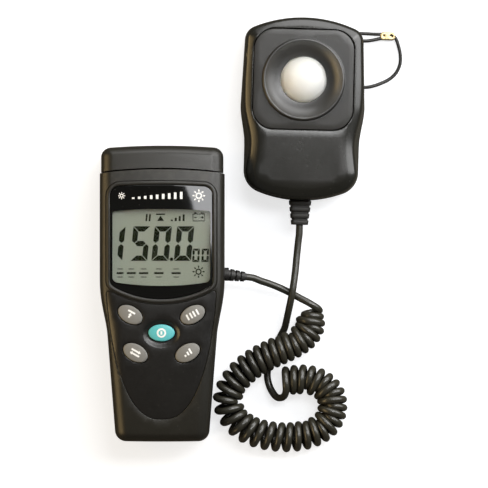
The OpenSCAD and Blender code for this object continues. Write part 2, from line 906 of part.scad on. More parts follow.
// Controller, amplifier, converter and a trimmer, all on the side of the board that faces the back
chips = [[0, 16, 14, 14, 2], [-12, 26, 6, 8, 1.6], [12, 26, 6, 8, 1.6], [13, 8, 6.6, 6.6, 4.5]];
module board_chips() {
    color([0.12, 0.12, 0.13])
        for (c = chips) {
            translate([c[0], view_mid_y + c[1] - 20, board_height - c[4] / 2])
                cube([c[2], c[3], c[4]], center = true);
        }
}

// Neck through the wall with a flange inside, a collar outside, then tapering ribs that lean towards the cord
sleeve_ribs = 4;
sleeve_lean = 13;
sleeve_turn = 7.5;
sleeve_way = [cos(sleeve_lean) * cos(sleeve_turn), -cos(sleeve_lean) * sin(sleeve_turn), -sin(sleeve_lean)];
sleeve_root = [head_width / 2 + 0.05, sleeve_y, seam_height];
sleeve_tip = sleeve_root + sleeve_length * sleeve_way;
module meter_sleeve() {
    tip = cord_diameter / 2 + 0.9;
    root = sleeve_diameter / 2;
    pitch = sleeve_length / sleeve_ribs;
    groove = 0.7;
    profile = concat(
        [[0, pitch / 2], [root - groove, pitch / 2]],
        [for (i = [1 : sleeve_ribs - 1])
            let (r = root + (tip - root) * i / (sleeve_ribs - 1))
            each [
                [r - groove, pitch * i], [r, pitch * (i + 0.04)],
                [r - 0.15, pitch * (i + 0.68)], [r - groove, pitch * (i + 0.72)]
            ]],
        [[tip - groove, sleeve_length], [0, sleeve_length]]);
    color(rubber_black) {
        translate(sleeve_root)
            rotate([0, sleeve_lean, -sleeve_turn]) rotate([0, 90, 0]) rotate_extrude() polygon(profile);
        translate(sleeve_root) rotate([0, 90, 0]) cylinder(r = root, h = pitch * 0.75);
        translate([head_width / 2 - side_wall - 1.4, sleeve_y, seam_height])
            rotate([0, 90, 0]) {
                cylinder(r = sleeve_neck, h = side_wall + 1.6);
                cylinder(r = sleeve_neck + 1.2, h = 1);
            }
    }
}

// The detector, in its own place beside the meter
// The cord and the detector keep their distance from the meter's side when it is made wider
aside = max(head_width / 2 - 27.3, grip_width / 2 - 21, shoulder_width / 2 - 24);
function beside(points) = [for (p = points) p + [aside, 0, 0]];
probe_place = [aside + 61.4, probe_length / 2 + 40.4];
probe_head_y = probe_length / 2;
probe_foot_y = -probe_head_y;
waist_y = -16;
widest_y = 1;
hollow_foot_y = -32;
hollow_head_y = 14;

// Half width of the detector: it narrows slowly towards the head and has a waist towards the foot
probe_half = function (y)
    let (upper = probe_width / 2 - probe_taper * max(0, y - widest_y), lower = waist_width / 2)
    lower + (upper - lower) * smooth_step(waist_y, widest_y, y);

// The side leans in most at the waist, as a hollow for the thumb
function scoop(y) =
    waist_scoop * smooth_step(hollow_foot_y, waist_y, y) * (1 - smooth_step(waist_y, hollow_head_y, y));

probe_steps = 16;
function probe_ring(inset, lean) = both_halves(half_outline(
    function (y) probe_half(y) - lean * scoop(y), [probe_foot_y, probe_head_y], [probe_foot, probe_head],
    [probe_foot_corner, probe_head_corner], inset, probe_steps));

function probe_face_rings(low, high, lean, edge, inset) = concat(
    [lifted(probe_ring(inset, 0), function (y) low)],
    [for (i = [0 : edge_steps])
        let (a = 90 * i / edge_steps)
        lifted(probe_ring(inset + lean + edge * (1 - cos(a)), 1), function (y) high - edge * (1 - sin(a)))]);

function probe_back_rings(low, high, lean, edge, inset) = concat(
    [for (i = [edge_steps : -1 : 0])
        let (a = 90 * i / edge_steps)
        lifted(probe_ring(inset + lean + edge * (1 - cos(a)), 0), function (y) low + edge * (1 - sin(a)))],
    [lifted(probe_ring(inset, 0), function (y) high)]);

// Screw posts near the four corners
probe_post = screw_head / 2 + 0.6;
probe_boss = screw_diameter / 2 + 1.2;
probe_screw_places = [for (x = [-1, 1], y = [probe_head_y - 10.4, probe_foot_y + 10.6])
    [x * (waist_width / 2 - probe_wall - probe_post - 2.4), y]];
probe_screw_length = 13;

module at_probe() {
    translate([probe_place[0], probe_place[1], 0]) rotate(-probe_turn) children();
}

// Place on the table of a point that is given from the detector's own middle
function on_table(p) = probe_place + [
    p[0] * cos(probe_turn) + p[1] * sin(probe_turn),
    p[1] * cos(probe_turn) - p[0] * sin(probe_turn)
];

module probe_sleeve_hole() {
    translate([0, probe_foot_y + 3 * probe_wall, probe_seam])
        rotate([90, 0, 0]) cylinder(r = sleeve_neck + slight, h = 4 * probe_wall);
}

// The tether goes in at two holes near the head and one further down the right side
tether_z = 5.2;
tether_holes = [34, 30.8, 10.4];
module tether_drill() {
    for (y = tether_holes) {
        translate([probe_width / 2 - 6, y, tether_z])
            rotate([0, 90, 0]) cylinder(d = tether_diameter + clear, h = 20);
    }
}

bezel_low = probe_height - plate_recess - plate_thickness;
bowl_low = bezel_low - bowl_depth;
bowl_outer = ring_diameter / 2 - 1.8;
module plate_shape(grow) {
    size = plate_size + 2 * grow;
    translate([0, plate_offset]) soft_rectangle(size, size, plate_corner + grow);
}

module probe_front_shell() {
    color(shell_black)
        at_probe()
            difference() {
                union() {
                    difference() {
                        skin(probe_face_rings(probe_seam, probe_height, draft, probe_edge, 0));
                        skin(probe_face_rings(
                            probe_seam - 1, probe_height - probe_face, draft, inner_edge, probe_wall));
                    }
                    for (place = probe_screw_places) {
                        upright(probe_seam, probe_height - probe_face + slight)
                            translate(place) circle(r = probe_boss);
                    }
                }
                upright(bezel_low, through) plate_shape(plate_gap);
                translate([0, plate_offset, probe_seam]) cylinder(r = bowl_outer + plate_gap, h = through);
                for (place = probe_screw_places) {
                    translate([place[0], place[1], 0])
                        cylinder(d = screw_diameter + slight, h = screw_sink + probe_screw_length + clear);
                }
                probe_sleeve_hole();
            }
}

module probe_rear_shell() {
    color(shell_black)
        at_probe()
            difference() {
                union() {
                    difference() {
                        skin(probe_back_rings(0, probe_seam, draft, back_edge, 0));
                        skin(probe_back_rings(back_wall, probe_seam + 1, draft, inner_edge, probe_wall));
                    }
                    for (place = probe_screw_places) {
                        upright(slight, probe_seam) translate(place) circle(r = probe_post);
                    }
                    for (place = detector_posts) {
                        upright(back_wall / 2, detector_board_z) translate(place) circle(r = 2.2);
                    }
                }
                for (place = probe_screw_places) {
                    translate([place[0], place[1], 0]) {
                        screw_head_hole();
                        cylinder(d = screw_diameter + clear, h = through);
                    }
                }
                probe_sleeve_hole();
                tether_drill();
            }
}

module probe_screws() {
    color(steel)
        at_probe()
            for (place = probe_screw_places) {
                translate([place[0], place[1], screw_sink])
                    screw(screw_diameter, screw_head, screw_head_height, probe_screw_length);
            }
}

// Square plate with a raised ring, and a bowl that drops from the ring to the seat of the dome
dome_seat = 1.6;
dome_skirt = 1.4;
ring_wall = 1.5;
module detector_bezel() {
    ring = ring_diameter / 2;
    plate_top = probe_height - plate_recess;
    lip = plate_top + ring_height;
    dome = dome_diameter / 2 + slight;
    hollow = ring - ring_wall - dome;
    bowl_foot = bowl_low + dome_seat + dome_skirt;
    seat = dome - 1.8;
    bowl = [for (i = [0 : 8])
        let (a = 90 * i / 8)
        [dome + hollow * sin(a), bowl_foot + (lip - bowl_foot) * (1 - cos(a))]];
    section = concat(
        [[seat, bowl_low], [seat, bowl_low + dome_seat], [dome, bowl_low + dome_seat]],
        bowl,
        [[ring - 0.7, lip], [ring - 0.2, lip - 0.3], [ring, lip - 0.9]],
        [[ring, bezel_low], [bowl_outer, bezel_low], [bowl_outer, bowl_low]]);
    color(shell_black)
        at_probe() {
            difference() {
                upright(bezel_low, plate_top) plate_shape(0);
                translate([0, plate_offset, 0]) cylinder(r = ring - 1, h = through);
            }
            translate([0, plate_offset, 0]) rotate_extrude() polygon(section);
        }
}

module diffuser_dome() {
    radius = dome_diameter / 2;
    base = bowl_low + dome_seat;
    steps = 16;
    outer = [for (i = [0 : steps])
        let (a = 90 * i / steps) [radius * cos(a), base + dome_skirt + radius * sin(a)]];
    inner_radius = radius - dome_wall;
    inner = [for (i = [steps : -1 : 0])
        let (a = 90 * i / steps) [inner_radius * cos(a), base + dome_skirt + inner_radius * sin(a)]];
    color(dome_white)
        at_probe()
            translate([0, plate_offset, 0])
                rotate_extrude() polygon(concat([[radius, base]], outer, inner, [[inner_radius, base]]));
}

// Light path under the dome: filter glass on a tube that stands on the board, round the photodiode
detector_board_z = 6;
detector_board_size = [26, 30];
detector_posts = [for (x = [-1, 1], y = [-1, 1]) [x * 10, plate_offset + y * 11]];
detector_board_top = detector_board_z + board_thickness;
can_flange = 4.6;
can_radius = 4.1;
can_height = 3;
filter_thickness = 2;
filter_radius = 6;
holder_wall = 1.3;
holder_top = bowl_low - slight;

module detector_board() {
    color(board_green)
        at_probe()
            upright(detector_board_z, detector_board_top)
                translate([0, plate_offset])
                    soft_rectangle(detector_board_size[0], detector_board_size[1], 2);
}

module photodiode() {
    color(steel)
        at_probe()
            translate([0, plate_offset, detector_board_top]) {
                cylinder(r = can_flange, h = 0.6);
                cylinder(r = can_radius, h = can_height);
            }
}

module filter_holder() {
    color(rubber_black)
        at_probe()
            translate([0, plate_offset, detector_board_top])
                difference() {
                    cylinder(r = filter_radius + holder_wall, h = holder_top - detector_board_top);
                    translate([0, 0, -1]) cylinder(r = filter_radius - 1, h = through);
                    translate([0, 0, holder_top - detector_board_top - filter_thickness])
                        cylinder(r = filter_radius + slight, h = through);
                }
}

module colour_filter() {
    color([0.45, 0.68, 0.5])
        at_probe()
            translate([0, plate_offset, holder_top - filter_thickness])
                cylinder(r = filter_radius, h = filter_thickness);
}

// Flat tapering sleeve with three slots a side, on a round neck through the foot wall
probe_sleeve_thickness = 6.4;
module probe_sleeve() {
    segments = 4;
    tip = 7;
    slot = 0.7;
    pitch = flat_sleeve_length / segments;
    right = [for (i = [0 : segments - 1])
        let (
            near = (flat_sleeve_width + (tip - flat_sleeve_width) * i / segments) / 2,
            far = (flat_sleeve_width + (tip - flat_sleeve_width) * (i + 1) / segments) / 2,
            notch = i < segments - 1 ? 0.9 : 0
        )
        let (next = -pitch * (i + 1))
        each [[near, -pitch * i], [far, next + slot], [far - notch, next + slot], [far - notch, next]]];
    color(rubber_black)
        at_probe()
            translate([0, probe_foot_y, probe_seam]) {
                intersection() {
                    upright(-probe_sleeve_thickness, probe_sleeve_thickness)
                        polygon(concat(right, [for (p = reversed(right)) [-p[0], p[1]]]));
                    rotate([90, 0, 0])
                        linear_extrude(height = through, center = true)
                            soft_rectangle(flat_sleeve_width, probe_sleeve_thickness, 2);
                }
                translate([0, probe_wall + 2, 0])
                    rotate([90, 0, 0]) {
                        cylinder(r = sleeve_neck, h = probe_wall + 2.2);
                        cylinder(r = sleeve_neck + 1.2, h = 1);
                    }
            }
}

// Round tube over a list of ring centres, one ring to each
function unit(v) = v / norm(v);
function along(path, i) = unit(path[min(i + 1, len(path) - 1)] - path[max(i - 1, 0)]);
// Frames are carried from ring to ring, so that the tube never twists
function carried_side(side, way) = unit(side - (side * way) * way);
function carried_sides(path, i, side) =
    i == len(path) ? [] :
        let (s = carried_side(side, along(path, i))) concat([s], carried_sides(path, i + 1, s));

module tube(path, diameter, sides) {
    count = len(path);
    last = (count - 1) * sides;
    start = abs(along(path, 0)[2]) > 0.9 ? [1, 0, 0] : [0, 0, 1];
    frames = carried_sides(path, 0, start);
    points = [for (i = [0 : count - 1], k = [0 : sides - 1])
        let (a = 360 * k / sides, other = cross(along(path, i), frames[i]))
        path[i] + diameter / 2 * (cos(a) * frames[i] + sin(a) * other)];
    walls = [for (i = [0 : count - 2], k = [0 : sides - 1])
        let (a = i * sides + k, b = i * sides + (k + 1) % sides)
        each [[a, a + sides, b + sides], [a, b + sides, b]]];
    polyhedron(
        points = points,
        faces = concat(
            walls,
            [for (k = [1 : sides - 2]) [0, k, k + 1]],
            [for (k = [1 : sides - 2]) [last, last + k + 1, last + k]]));
}

// Centre line of the coil, drawn by control points with the same number of curls from each to the next
coil_points = beside([
    [66.8, -6.2, 6.7], [65, -17.2, 8], [55.4, -23.8, 10.7], [44.2, -28, 10.4], [33.6, -35.2, 7.2],
    [26, -47.2, 6.7], [33.8, -59.6, 6.7], [46.6, -63.4, 6.7], [60, -64, 6.7], [74.4, -58.6, 6.7],
    [75.8, -43.2, 6.7], [64.4, -37, 6.7], [54, -39, 6.7]
]);
curl_count = (len(coil_points) - 1) * curls_per_point;
curl_radius = (curl_diameter - cord_diameter) / 2;
rings_per_curl = 8;

// Even curve drawn by its control points, from the first to the last
function even_curve(points, t) =
    let (
        last = len(points) - 2,
        i = min(floor(t), last),
        f = t - i,
        b = points[i],
        c = points[i + 1],
        a = i > 0 ? points[i - 1] : 2 * b - c,
        d = i < last ? points[i + 2] : 2 * c - b,
        g = 1 - f
    )
    (pow(g, 3) * a + (3 * pow(f, 3) - 6 * f * f + 4) * b
        + (3 * pow(g, 3) - 6 * g * g + 4) * c + pow(f, 3) * d) / 6;

function coil_at(u) = even_curve(coil_points, min(max(u, 0), curl_count) / curls_per_point);
function coil_way(u) = let (v = coil_at(u + 0.25) - coil_at(u - 0.25)) unit([v[0], v[1], 0]);

// Bend of the centre line at a curl, positive to the left: the curl's radius over the bend's radius
function coil_bend(u) =
    let (a = coil_way(max(0, u - 0.5)), b = coil_way(min(curl_count, u + 0.5)))
    curl_radius * asin(a[0] * b[1] - a[1] * b[0]) * PI / 180 / norm(coil_at(u + 0.5) - coil_at(u - 0.5));

function coil_pitch(u) =
    let (low = max(0, u - 0.5), high = min(curl_count, u + 0.5))
    norm(coil_at(high) - coil_at(low)) / (high - low);

// A point of the curly cord. Each curl runs over the top to the left and back below. Inside a bend, where
// the curls crowd, every other one steps in towards the middle by as much as keeps them apart.
function curl_point(u) =
    let (
        way = coil_way(u),
        left = [-way[1], way[0], 0],
        a = 90 - 360 * u,
        bend = coil_bend(u),
        spacing = coil_pitch(u) * (1 - bend * cos(a)),
        need = cord_diameter + curl_gap,
        step_in = sqrt(max(0, need * need - spacing * spacing)),
        turn = u - (bend > 0 ? 0.25 : 0.75),
        r = curl_radius - step_in * (1 + cos(180 * turn)) / 2
    )
    coil_at(u) + r * cos(a) * left + [0, 0, r * sin(a)];

curl_points = [for (i = [0 : curl_count * rings_per_curl]) curl_point(i / rings_per_curl)];
last_curl = len(curl_points) - 1;
coil_start_way = unit(curl_points[1] - curl_points[0]);
coil_end_way = unit(curl_points[last_curl] - curl_points[last_curl - 1]);

echo(least_gap_between_curls = min([for (i = [0 : last_curl - rings_per_curl / 2 - 1])
    for (j = [i + rings_per_curl / 2 + 1 : last_curl])
        norm(curl_points[i] - curl_points[j])]) - cord_diameter);

// The stretches that aren't coiled: from the meter's sleeve to the coil, and from the coil's loose last curl,
// under its first stretch and over the other lead, to the detector's sleeve
meter_lead_points = beside([
    [43.2, 5.2, 11.8], [47.4, 3.8, 10.4], [51.8, 2, 9.4], [56.2, 0, 9], [60.2, -2.4, 9.8]
]);
probe_lead_points = beside([
    [54.4, -43.4, 10], [53, -45.9, 7.4], [50, -45.9, 4.6], [47.2, -41.8, 2.2], [46, -36.6, 1.45],
    [46.8, -31.4, 1.45], [49, -25, 1.45], [51.6, -19.6, 1.9], [53.6, -15.6, 3.7], [54.6, -11.2, 7.2],
    [55.6, -6.4, 10.6], [56.5, -2, 12.5], [57.2, 2, 12.8], [58.1, 8.4, 12.1], [58.9, 16.4, 11.3],
    [59.6, 23, 11]
]);
function below_probe_sleeve(drop) =
    let (place = on_table([0, probe_foot_y - flat_sleeve_length - drop]))
    [place[0], place[1], probe_seam];

module meter_lead() {
    color(rubber_black)
        tube(concat(
            [sleeve_tip, sleeve_tip + cord_diameter * sleeve_way],
            meter_lead_points,
            [curl_points[0] - cord_diameter * coil_start_way, curl_points[0]]), cord_diameter, 8);
}

module curly_cord() {
    color(rubber_black) tube(curl_points, cord_diameter, 6);
}

module probe_lead() {
    end = curl_points[last_curl];
    color(rubber_black)
        tube(concat(
            [end, end + cord_diameter * coil_end_way],
            probe_lead_points,
            [below_probe_sleeve(cord_diameter), below_probe_sleeve(0)]), cord_diameter, 8);
}

// The tether, from the detector's own middle: out of its side, round a loose arc that lies on the table,
// through a brass crimp and back in near the head. A short tail of it is held by the same crimp.
tether_points = [
    [22, 10.4, 5.2], [27.2, 10.4, 5.2], [30.6, 11, 4.4], [34.2, 12.4, 2.4], [38, 14.4, 1], [41, 17.4, 0.8],
    [42.6, 21.4, 0.8], [42.6, 25.4, 0.8], [41.6, 29.4, 0.9], [40.4, 32.4, 1.2], [38.2, 34, 1.4],
    [35, 34.1, 1.6], [30.6, 34, 3], [27.2, 34, 5.2], [22, 34, 5.2]
];
tail_points = [[22, 30.8, 5.2], [27.2, 30.8, 5.2], [30.6, 31.4, 3.6], [34.6, 32.4, 1.6], [37.4, 32.4, 1.4]];
crimp_middle = [37.4, 33.25, 1.4];

module tether_cord() {
    color(rubber_black) at_probe() tube(tether_points, tether_diameter, 8);
}

module tether_tail() {
    color(rubber_black) at_probe() tube(tail_points, tether_diameter, 8);
}

// Flat brass sleeve over the two strands, with a round eye at its end and two dimples
module tether_crimp() {
    length = 6;
    width = 2 * tether_diameter + 0.6;
    thickness = tether_diameter + 1;
    dimple = 0.9;
    dimple_depth = 0.5;
    eye_x = length / 2 - width / 2;
    color(brass)
        at_probe()
            translate([crimp_middle[0], crimp_middle[1], crimp_middle[2] - thickness / 2])
                difference() {
                    linear_extrude(height = thickness) {
                        translate([-0.6, 0]) soft_rectangle(length - 1.2, width - 0.4, 0.6);
                        translate([eye_x, 0]) circle(d = width);
                    }
                    for (x = [-length / 4, eye_x]) {
                        translate([x, 0, thickness - dimple_depth]) cylinder(d = dimple, h = 1);
                    }
                }
}

front_shell();
rear_shell();
head_cap();
window();
window_gasket();
key_panel();
max_key();
hold_key();
unit_key();
range_key();
power_key();
keypad_mat();
lcd();
lcd_frame();
lcd_connectors();
main_board();
board_chips();
board_screws();
battery();
battery_snap();
battery_door();
case_screws();
meter_sleeve();
probe_front_shell();
probe_rear_shell();
detector_bezel();
diffuser_dome();
colour_filter();
filter_holder();
photodiode();
detector_board();
probe_screws();
probe_sleeve();
meter_lead();
curly_cord();
probe_lead();
tether_cord();
tether_tail();
tether_crimp();
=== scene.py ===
import math

import bmesh
import bpy
import numpy as np
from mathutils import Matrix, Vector
from mathutils.geometry import delaunay_2d_cdt


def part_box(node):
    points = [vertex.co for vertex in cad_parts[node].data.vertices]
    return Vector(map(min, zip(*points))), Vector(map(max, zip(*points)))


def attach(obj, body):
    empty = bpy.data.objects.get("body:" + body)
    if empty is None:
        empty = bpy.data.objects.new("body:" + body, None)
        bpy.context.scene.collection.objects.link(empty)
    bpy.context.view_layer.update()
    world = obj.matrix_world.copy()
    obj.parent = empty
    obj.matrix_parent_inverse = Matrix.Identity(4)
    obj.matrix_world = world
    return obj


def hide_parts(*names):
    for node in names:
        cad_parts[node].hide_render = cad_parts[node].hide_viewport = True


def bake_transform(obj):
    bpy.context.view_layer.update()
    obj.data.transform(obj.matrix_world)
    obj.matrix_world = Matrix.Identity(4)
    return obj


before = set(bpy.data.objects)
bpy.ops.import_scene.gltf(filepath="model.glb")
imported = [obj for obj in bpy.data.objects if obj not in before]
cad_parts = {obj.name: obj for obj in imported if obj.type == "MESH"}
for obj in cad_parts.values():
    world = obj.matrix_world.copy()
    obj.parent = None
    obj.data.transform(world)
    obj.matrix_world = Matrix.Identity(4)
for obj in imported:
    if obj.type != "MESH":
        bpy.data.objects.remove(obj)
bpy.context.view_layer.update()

scene = bpy.context.scene


# Sizes that several pieces share

# Lengths are in millimetres, as in the part's source, until a form is built.
# Camera, lamps and floor are in metres.
MM = 0.001
METER_END, HEAD_HALF, METER_CORNER = 65, 27.3, 5
SEAM, JOINT, CAP_ARC = 16, 53.8, 210
DRAFT, LIP = 0.5, 1.4
LIP_STEPS = LIP * (1 - np.cos(np.linspace(0, math.pi / 2, 7)))
PROBE_PLACE, PROBE_TURN = (61.4, 80.6), math.radians(1.5)
PROBE_SEAM, PROBE_END, BOOT_LENGTH = 11, 40.2, 11.4
SHARPEST = 0.4
FACE_NET = 2.6
HOLE_ROOM, NET_ROOM = 0.2, 0.6
PLAN_TOLERANCE, WELD = 1e-7, 1e-7
INK = 0.03
QUARTERS = ((1, 1, 0), (-1, 1, 90), (-1, -1, 180), (1, -1, 270))


# Forms

def put(name, data):
    """A new object in the scene."""
    made = bpy.data.objects.new(name, data)
    scene.collection.objects.link(made)
    return made


def on_table(p):
    """Place of a point that is given from the detector's own middle."""
    c, s = math.cos(PROBE_TURN), math.sin(PROBE_TURN)
    return np.array([PROBE_PLACE[0] + p[0] * c + p[1] * s, PROBE_PLACE[1] + p[1] * c - p[0] * s, p[2]])


class Form:
    """Points and faces, gathered ring by ring."""

    def __init__(self):
        self.points = []
        self.faces = []

    def ring(self, points):
        first = len(self.points)
        self.points.extend(points)
        return list(range(first, len(self.points)))

    def bridge(self, a, b):
        for i in range(len(a)):
            j = (i + 1) % len(a)
            self.faces.append((a[i], a[j], b[j], b[i]))

    def loft(self, rings):
        made = [self.ring(r) for r in rings]
        for a, b in zip(made, made[1:]):
            self.bridge(a, b)
        return made

    def fan(self, ring, point):
        tip = self.ring([point])[0]
        for i in range(len(ring)):
            self.faces.append((ring[i], ring[(i + 1) % len(ring)], tip))

    def strip(self, left, right):
        a, b = self.ring(left), self.ring(right)
        for i in range(len(a) - 1):
            self.faces.append((a[i], b[i], b[i + 1], a[i + 1]))

    def fill(self, outer, holes, height, spacing, extra=()):
        """Closes a ring, leaving the holes open.

        The extra points and an even net, lifted to the height, lie inside it."""
        loops = [outer] + holes
        plans = [np.array([self.points[i][:2] for i in loop]) for loop in loops]
        index = [i for loop in loops for i in loop]
        edges = []
        for loop in loops:
            first = len(edges)
            edges += [(first + k, first + (k + 1) % len(loop)) for k in range(len(loop))]
        border = np.vstack(plans)
        if len(extra):
            extra = np.array(extra)
            extra = extra[inside(extra[:, :2], plans)]
            for plan in plans[1:]:
                extra = extra[farther(extra[:, :2], plan, HOLE_ROOM)]
            index += self.ring([tuple(p) for p in extra])
            border = np.vstack([border, extra[:, :2]])
        low, high = plans[0].min(0), plans[0].max(0)
        net = np.array([(x, y) for x in np.arange(low[0], high[0], spacing)
                        for y in np.arange(low[1], high[1], spacing)])
        net = net[inside(net, plans)]
        net = net[farther(net, border, NET_ROOM * spacing)]
        index += self.ring(raised(net, height))
        plan = np.vstack([border, net])
        _, _, triangles, source, _, _ = delaunay_2d_cdt(
            [Vector(p) for p in plan], edges, [], 0, PLAN_TOLERANCE)
        source = [s[0] for s in source]
        middles = np.array([plan[[source[v] for v in t]].mean(0) for t in triangles])
        for t, kept in zip(triangles, inside(middles, plans)):
            if kept:
                self.faces.append(tuple(index[source[v]] for v in t))

    def set_down(self):
        """Moves a form of the detector from its own middle to its place on the table."""
        self.points = [on_table(p) for p in self.points]

    def build(self, name, material, body, sharp=35, up=False):
        """A piece of the scene; up turns flat print to face upwards."""
        mesh = bpy.data.meshes.new(name)
        mesh.from_pydata([(x * MM, y * MM, z * MM) for x, y, z in self.points], [], self.faces)
        work = bmesh.new()
        work.from_mesh(mesh)
        bmesh.ops.remove_doubles(work, verts=work.verts, dist=WELD)
        bmesh.ops.recalc_face_normals(work, faces=work.faces)
        if up and sum(f.normal.z * f.calc_area() for f in work.faces) < 0:
            bmesh.ops.reverse_faces(work, faces=work.faces)
        work.to_mesh(mesh)
        work.free()
        mesh.shade_smooth()
        mesh.set_sharp_from_angle(angle=math.radians(sharp))
        mesh.materials.append(material)
        piece = put(name, mesh)
        if body:
            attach(piece, body)
        return piece


def inside(places, loops):
    """Whether each place is inside the first loop and outside the others."""
    kept = np.zeros(len(places), bool)
    for loop in loops:
        a, b = loop, np.roll(loop, -1, 0)
        x, y = places[:, :1], places[:, 1:]
        spans = (a[:, 1] > y) != (b[:, 1] > y)
        rise = np.where(b[:, 1] == a[:, 1], 1, b[:, 1] - a[:, 1])
        crossed = spans & (x < (b[:, 0] - a[:, 0]) * (y - a[:, 1]) / rise + a[:, 0])
        kept ^= crossed.sum(1) % 2 == 1
    return kept


def farther(places, others, distance):
    """Whether each place is farther than the distance from all the others."""
    return np.array([((others - p) ** 2).sum(1).min() for p in places]) > distance ** 2


def raised(plan, height, drop=0):
    """The points of a plan at the height over each of them, less a drop."""
    return [(x, y, height(x, y) - drop) for x, y in plan]


def round_angles(count):
    return np.linspace(0, 2 * math.pi, count, endpoint=False)


def unit(v):
    return v / np.linalg.norm(v)


def unit_rows(v):
    return v / np.linalg.norm(v, axis=1)[:, None]


def smooth_step(low, high, v):
    t = min(1, max(0, (v - low) / (high - low)))
    return t * t * (3 - 2 * t)


def corner_arc(width, end, way, crown, corner, inset):
    """Middle, radius and angle of the corner between a side and a crowned end."""
    radius = max(corner - inset, SHARPEST)
    reach = crown - inset - radius
    guess_x = width(end - way * corner) - inset - radius
    guess_y = end - way * (crown - math.sqrt(reach ** 2 - guess_x ** 2))
    x = width(guess_y) - inset - radius
    return x, end - way * (crown - math.sqrt(reach ** 2 - x ** 2)), radius, math.asin(x / reach)


def crowned_end(width, end, way, crown, corner, inset, steps):
    """Points from the middle of a crowned end, round its corner, to where the side begins."""
    x, y, radius, turn = corner_arc(width, end, way, crown, corner, inset)
    reach = crown - inset
    on_crown = [turn * i / steps[0] for i in range(steps[0])]
    on_corner = [turn + (math.pi / 2 - turn) * i / steps[1] for i in range(steps[1] + 1)]
    points = [(reach * math.sin(a), end - way * crown + way * reach * math.cos(a)) for a in on_crown]
    return points + [(x + radius * math.sin(a), y + way * radius * math.cos(a)) for a in on_corner]


def half_outline(width, ends, crowns, corners, inset, steps=(10, 10, 50)):
    """Right half of a plan outline from the foot to the head, with crowned ends and round corners."""
    foot, head = [crowned_end(width, end, way, crown, corner, inset, steps[:2])
                  for end, way, crown, corner in zip(ends, (-1, 1), crowns, corners)]
    heights = np.linspace(foot[-1][1], head[-1][1], steps[2] + 1)[1:-1]
    return foot + [(width(y) - inset, y) for y in heights] + head[::-1]


def both_halves(half):
    return half + [(-x, y) for x, y in half[-2:0:-1]]


def resample(loop, count):
    """The same closed outline with evenly spaced points."""
    points = np.array(loop + loop[:1])
    along = np.concatenate([[0], np.cumsum(np.linalg.norm(np.diff(points, axis=0), axis=1))])
    places = np.linspace(0, along[-1], count, endpoint=False)
    return [(np.interp(s, along, points[:, 0]), np.interp(s, along, points[:, 1])) for s in places]


def straight_sided(half, ends, crowns, corners, count):
    return resample(both_halves(half_outline(lambda y: half, ends, crowns, corners, 0)), count)


def round_rectangle(reach_x, reach_y, corner, steps, middle=(0, 0)):
    """Outline whose corners' middles lie at the reaches."""
    return [(middle[0] + sx * reach_x + corner * math.cos(a), middle[1] + sy * reach_y + corner * math.sin(a))
            for sx, sy, begin in QUARTERS for a in np.radians(np.linspace(begin, begin + 90, steps))]


def grown(loop, distance):
    """A counter-clockwise outline moved outwards."""
    points = np.array(loop)
    way = unit_rows(np.roll(points, -1, 0) - np.roll(points, 1, 0))
    return [(x + distance * t[1], y - distance * t[0]) for (x, y), t in zip(points, way)]


def ellipse(a, b, centre=(0, 0), turn=0, count=96):
    c, s = math.cos(math.radians(turn)), math.sin(math.radians(turn))
    points = [(a * math.cos(t), b * math.sin(t)) for t in round_angles(count)]
    return [(centre[0] + x * c - y * s, centre[1] + x * s + y * c) for x, y in points]


def stepped(form, outline, profile, height):
    """Rings that follow an outline, each at an offset from it and a depth below the height."""
    return form.loft([raised(grown(outline, out), height, depth) for out, depth in profile])


def rounding(steps=12):
    """Inset and drop, as shares of the radius, from a wall to a face."""
    return [(1 - math.cos(a), 1 - math.sin(a)) for a in np.linspace(0, math.pi / 2, steps + 1)]


def smooth_path(points, spacing):
    """An even curve through the points."""
    p = [np.array(q, float) for q in points]
    p = [2 * p[0] - p[1]] + p + [2 * p[-1] - p[-2]]
    path = []
    for a, b, c, d in zip(p, p[1:], p[2:], p[3:]):
        steps = max(1, round(np.linalg.norm(c - b) / spacing))
        for t in np.arange(steps) / steps:
            path.append(b + t / 2 * (c - a + t * (2 * a - 5 * b + 4 * c - d + t * (3 * (b - c) + d - a))))
    return path + [p[-2]]


def tube(form, path, radius, sides):
    """A closed round tube along a path, carried along it without twist."""
    path = np.array(path)
    way = unit_rows(np.gradient(path, axis=0))
    side = np.array([0, 0, 1.0]) if abs(way[0][2]) < 0.9 else np.array([1.0, 0, 0])
    rings = []
    for place, t in zip(path, way):
        side = unit(side - side.dot(t) * t)
        other = np.cross(t, side)
        rings.append([tuple(place + radius * (math.cos(a) * side + math.sin(a) * other))
                      for a in round_angles(sides)])
    made = form.loft(rings)
    form.fan(made[0], tuple(path[0]))
    form.fan(made[-1], tuple(path[-1]))


def lathe(form, profile, centre, count=128):
    return form.loft([[(centre[0] + r * math.cos(a), centre[1] + r * math.sin(a), z)
                       for a in round_angles(count)] for r, z in profile])


# Shader nodes

FLOAT, COLOUR = "NodeSocketFloat", "NodeSocketColor"


def new_group(name, inputs, outputs):
    tree = bpy.data.node_groups.new(name, "ShaderNodeTree")
    for label, kind, value in inputs:
        socket = tree.interface.new_socket(name=label, in_out="INPUT", socket_type=kind)
        socket.default_value = value
    for label, kind in outputs:
        tree.interface.new_socket(name=label, in_out="OUTPUT", socket_type=kind)
    return tree, tree.nodes.new("NodeGroupInput"), tree.nodes.new("NodeGroupOutput")


def new_material(name):
    material = bpy.data.materials.new(name)
    material.use_nodes = True
    tree = material.node_tree
    return material, tree, tree.nodes["Principled BSDF"]


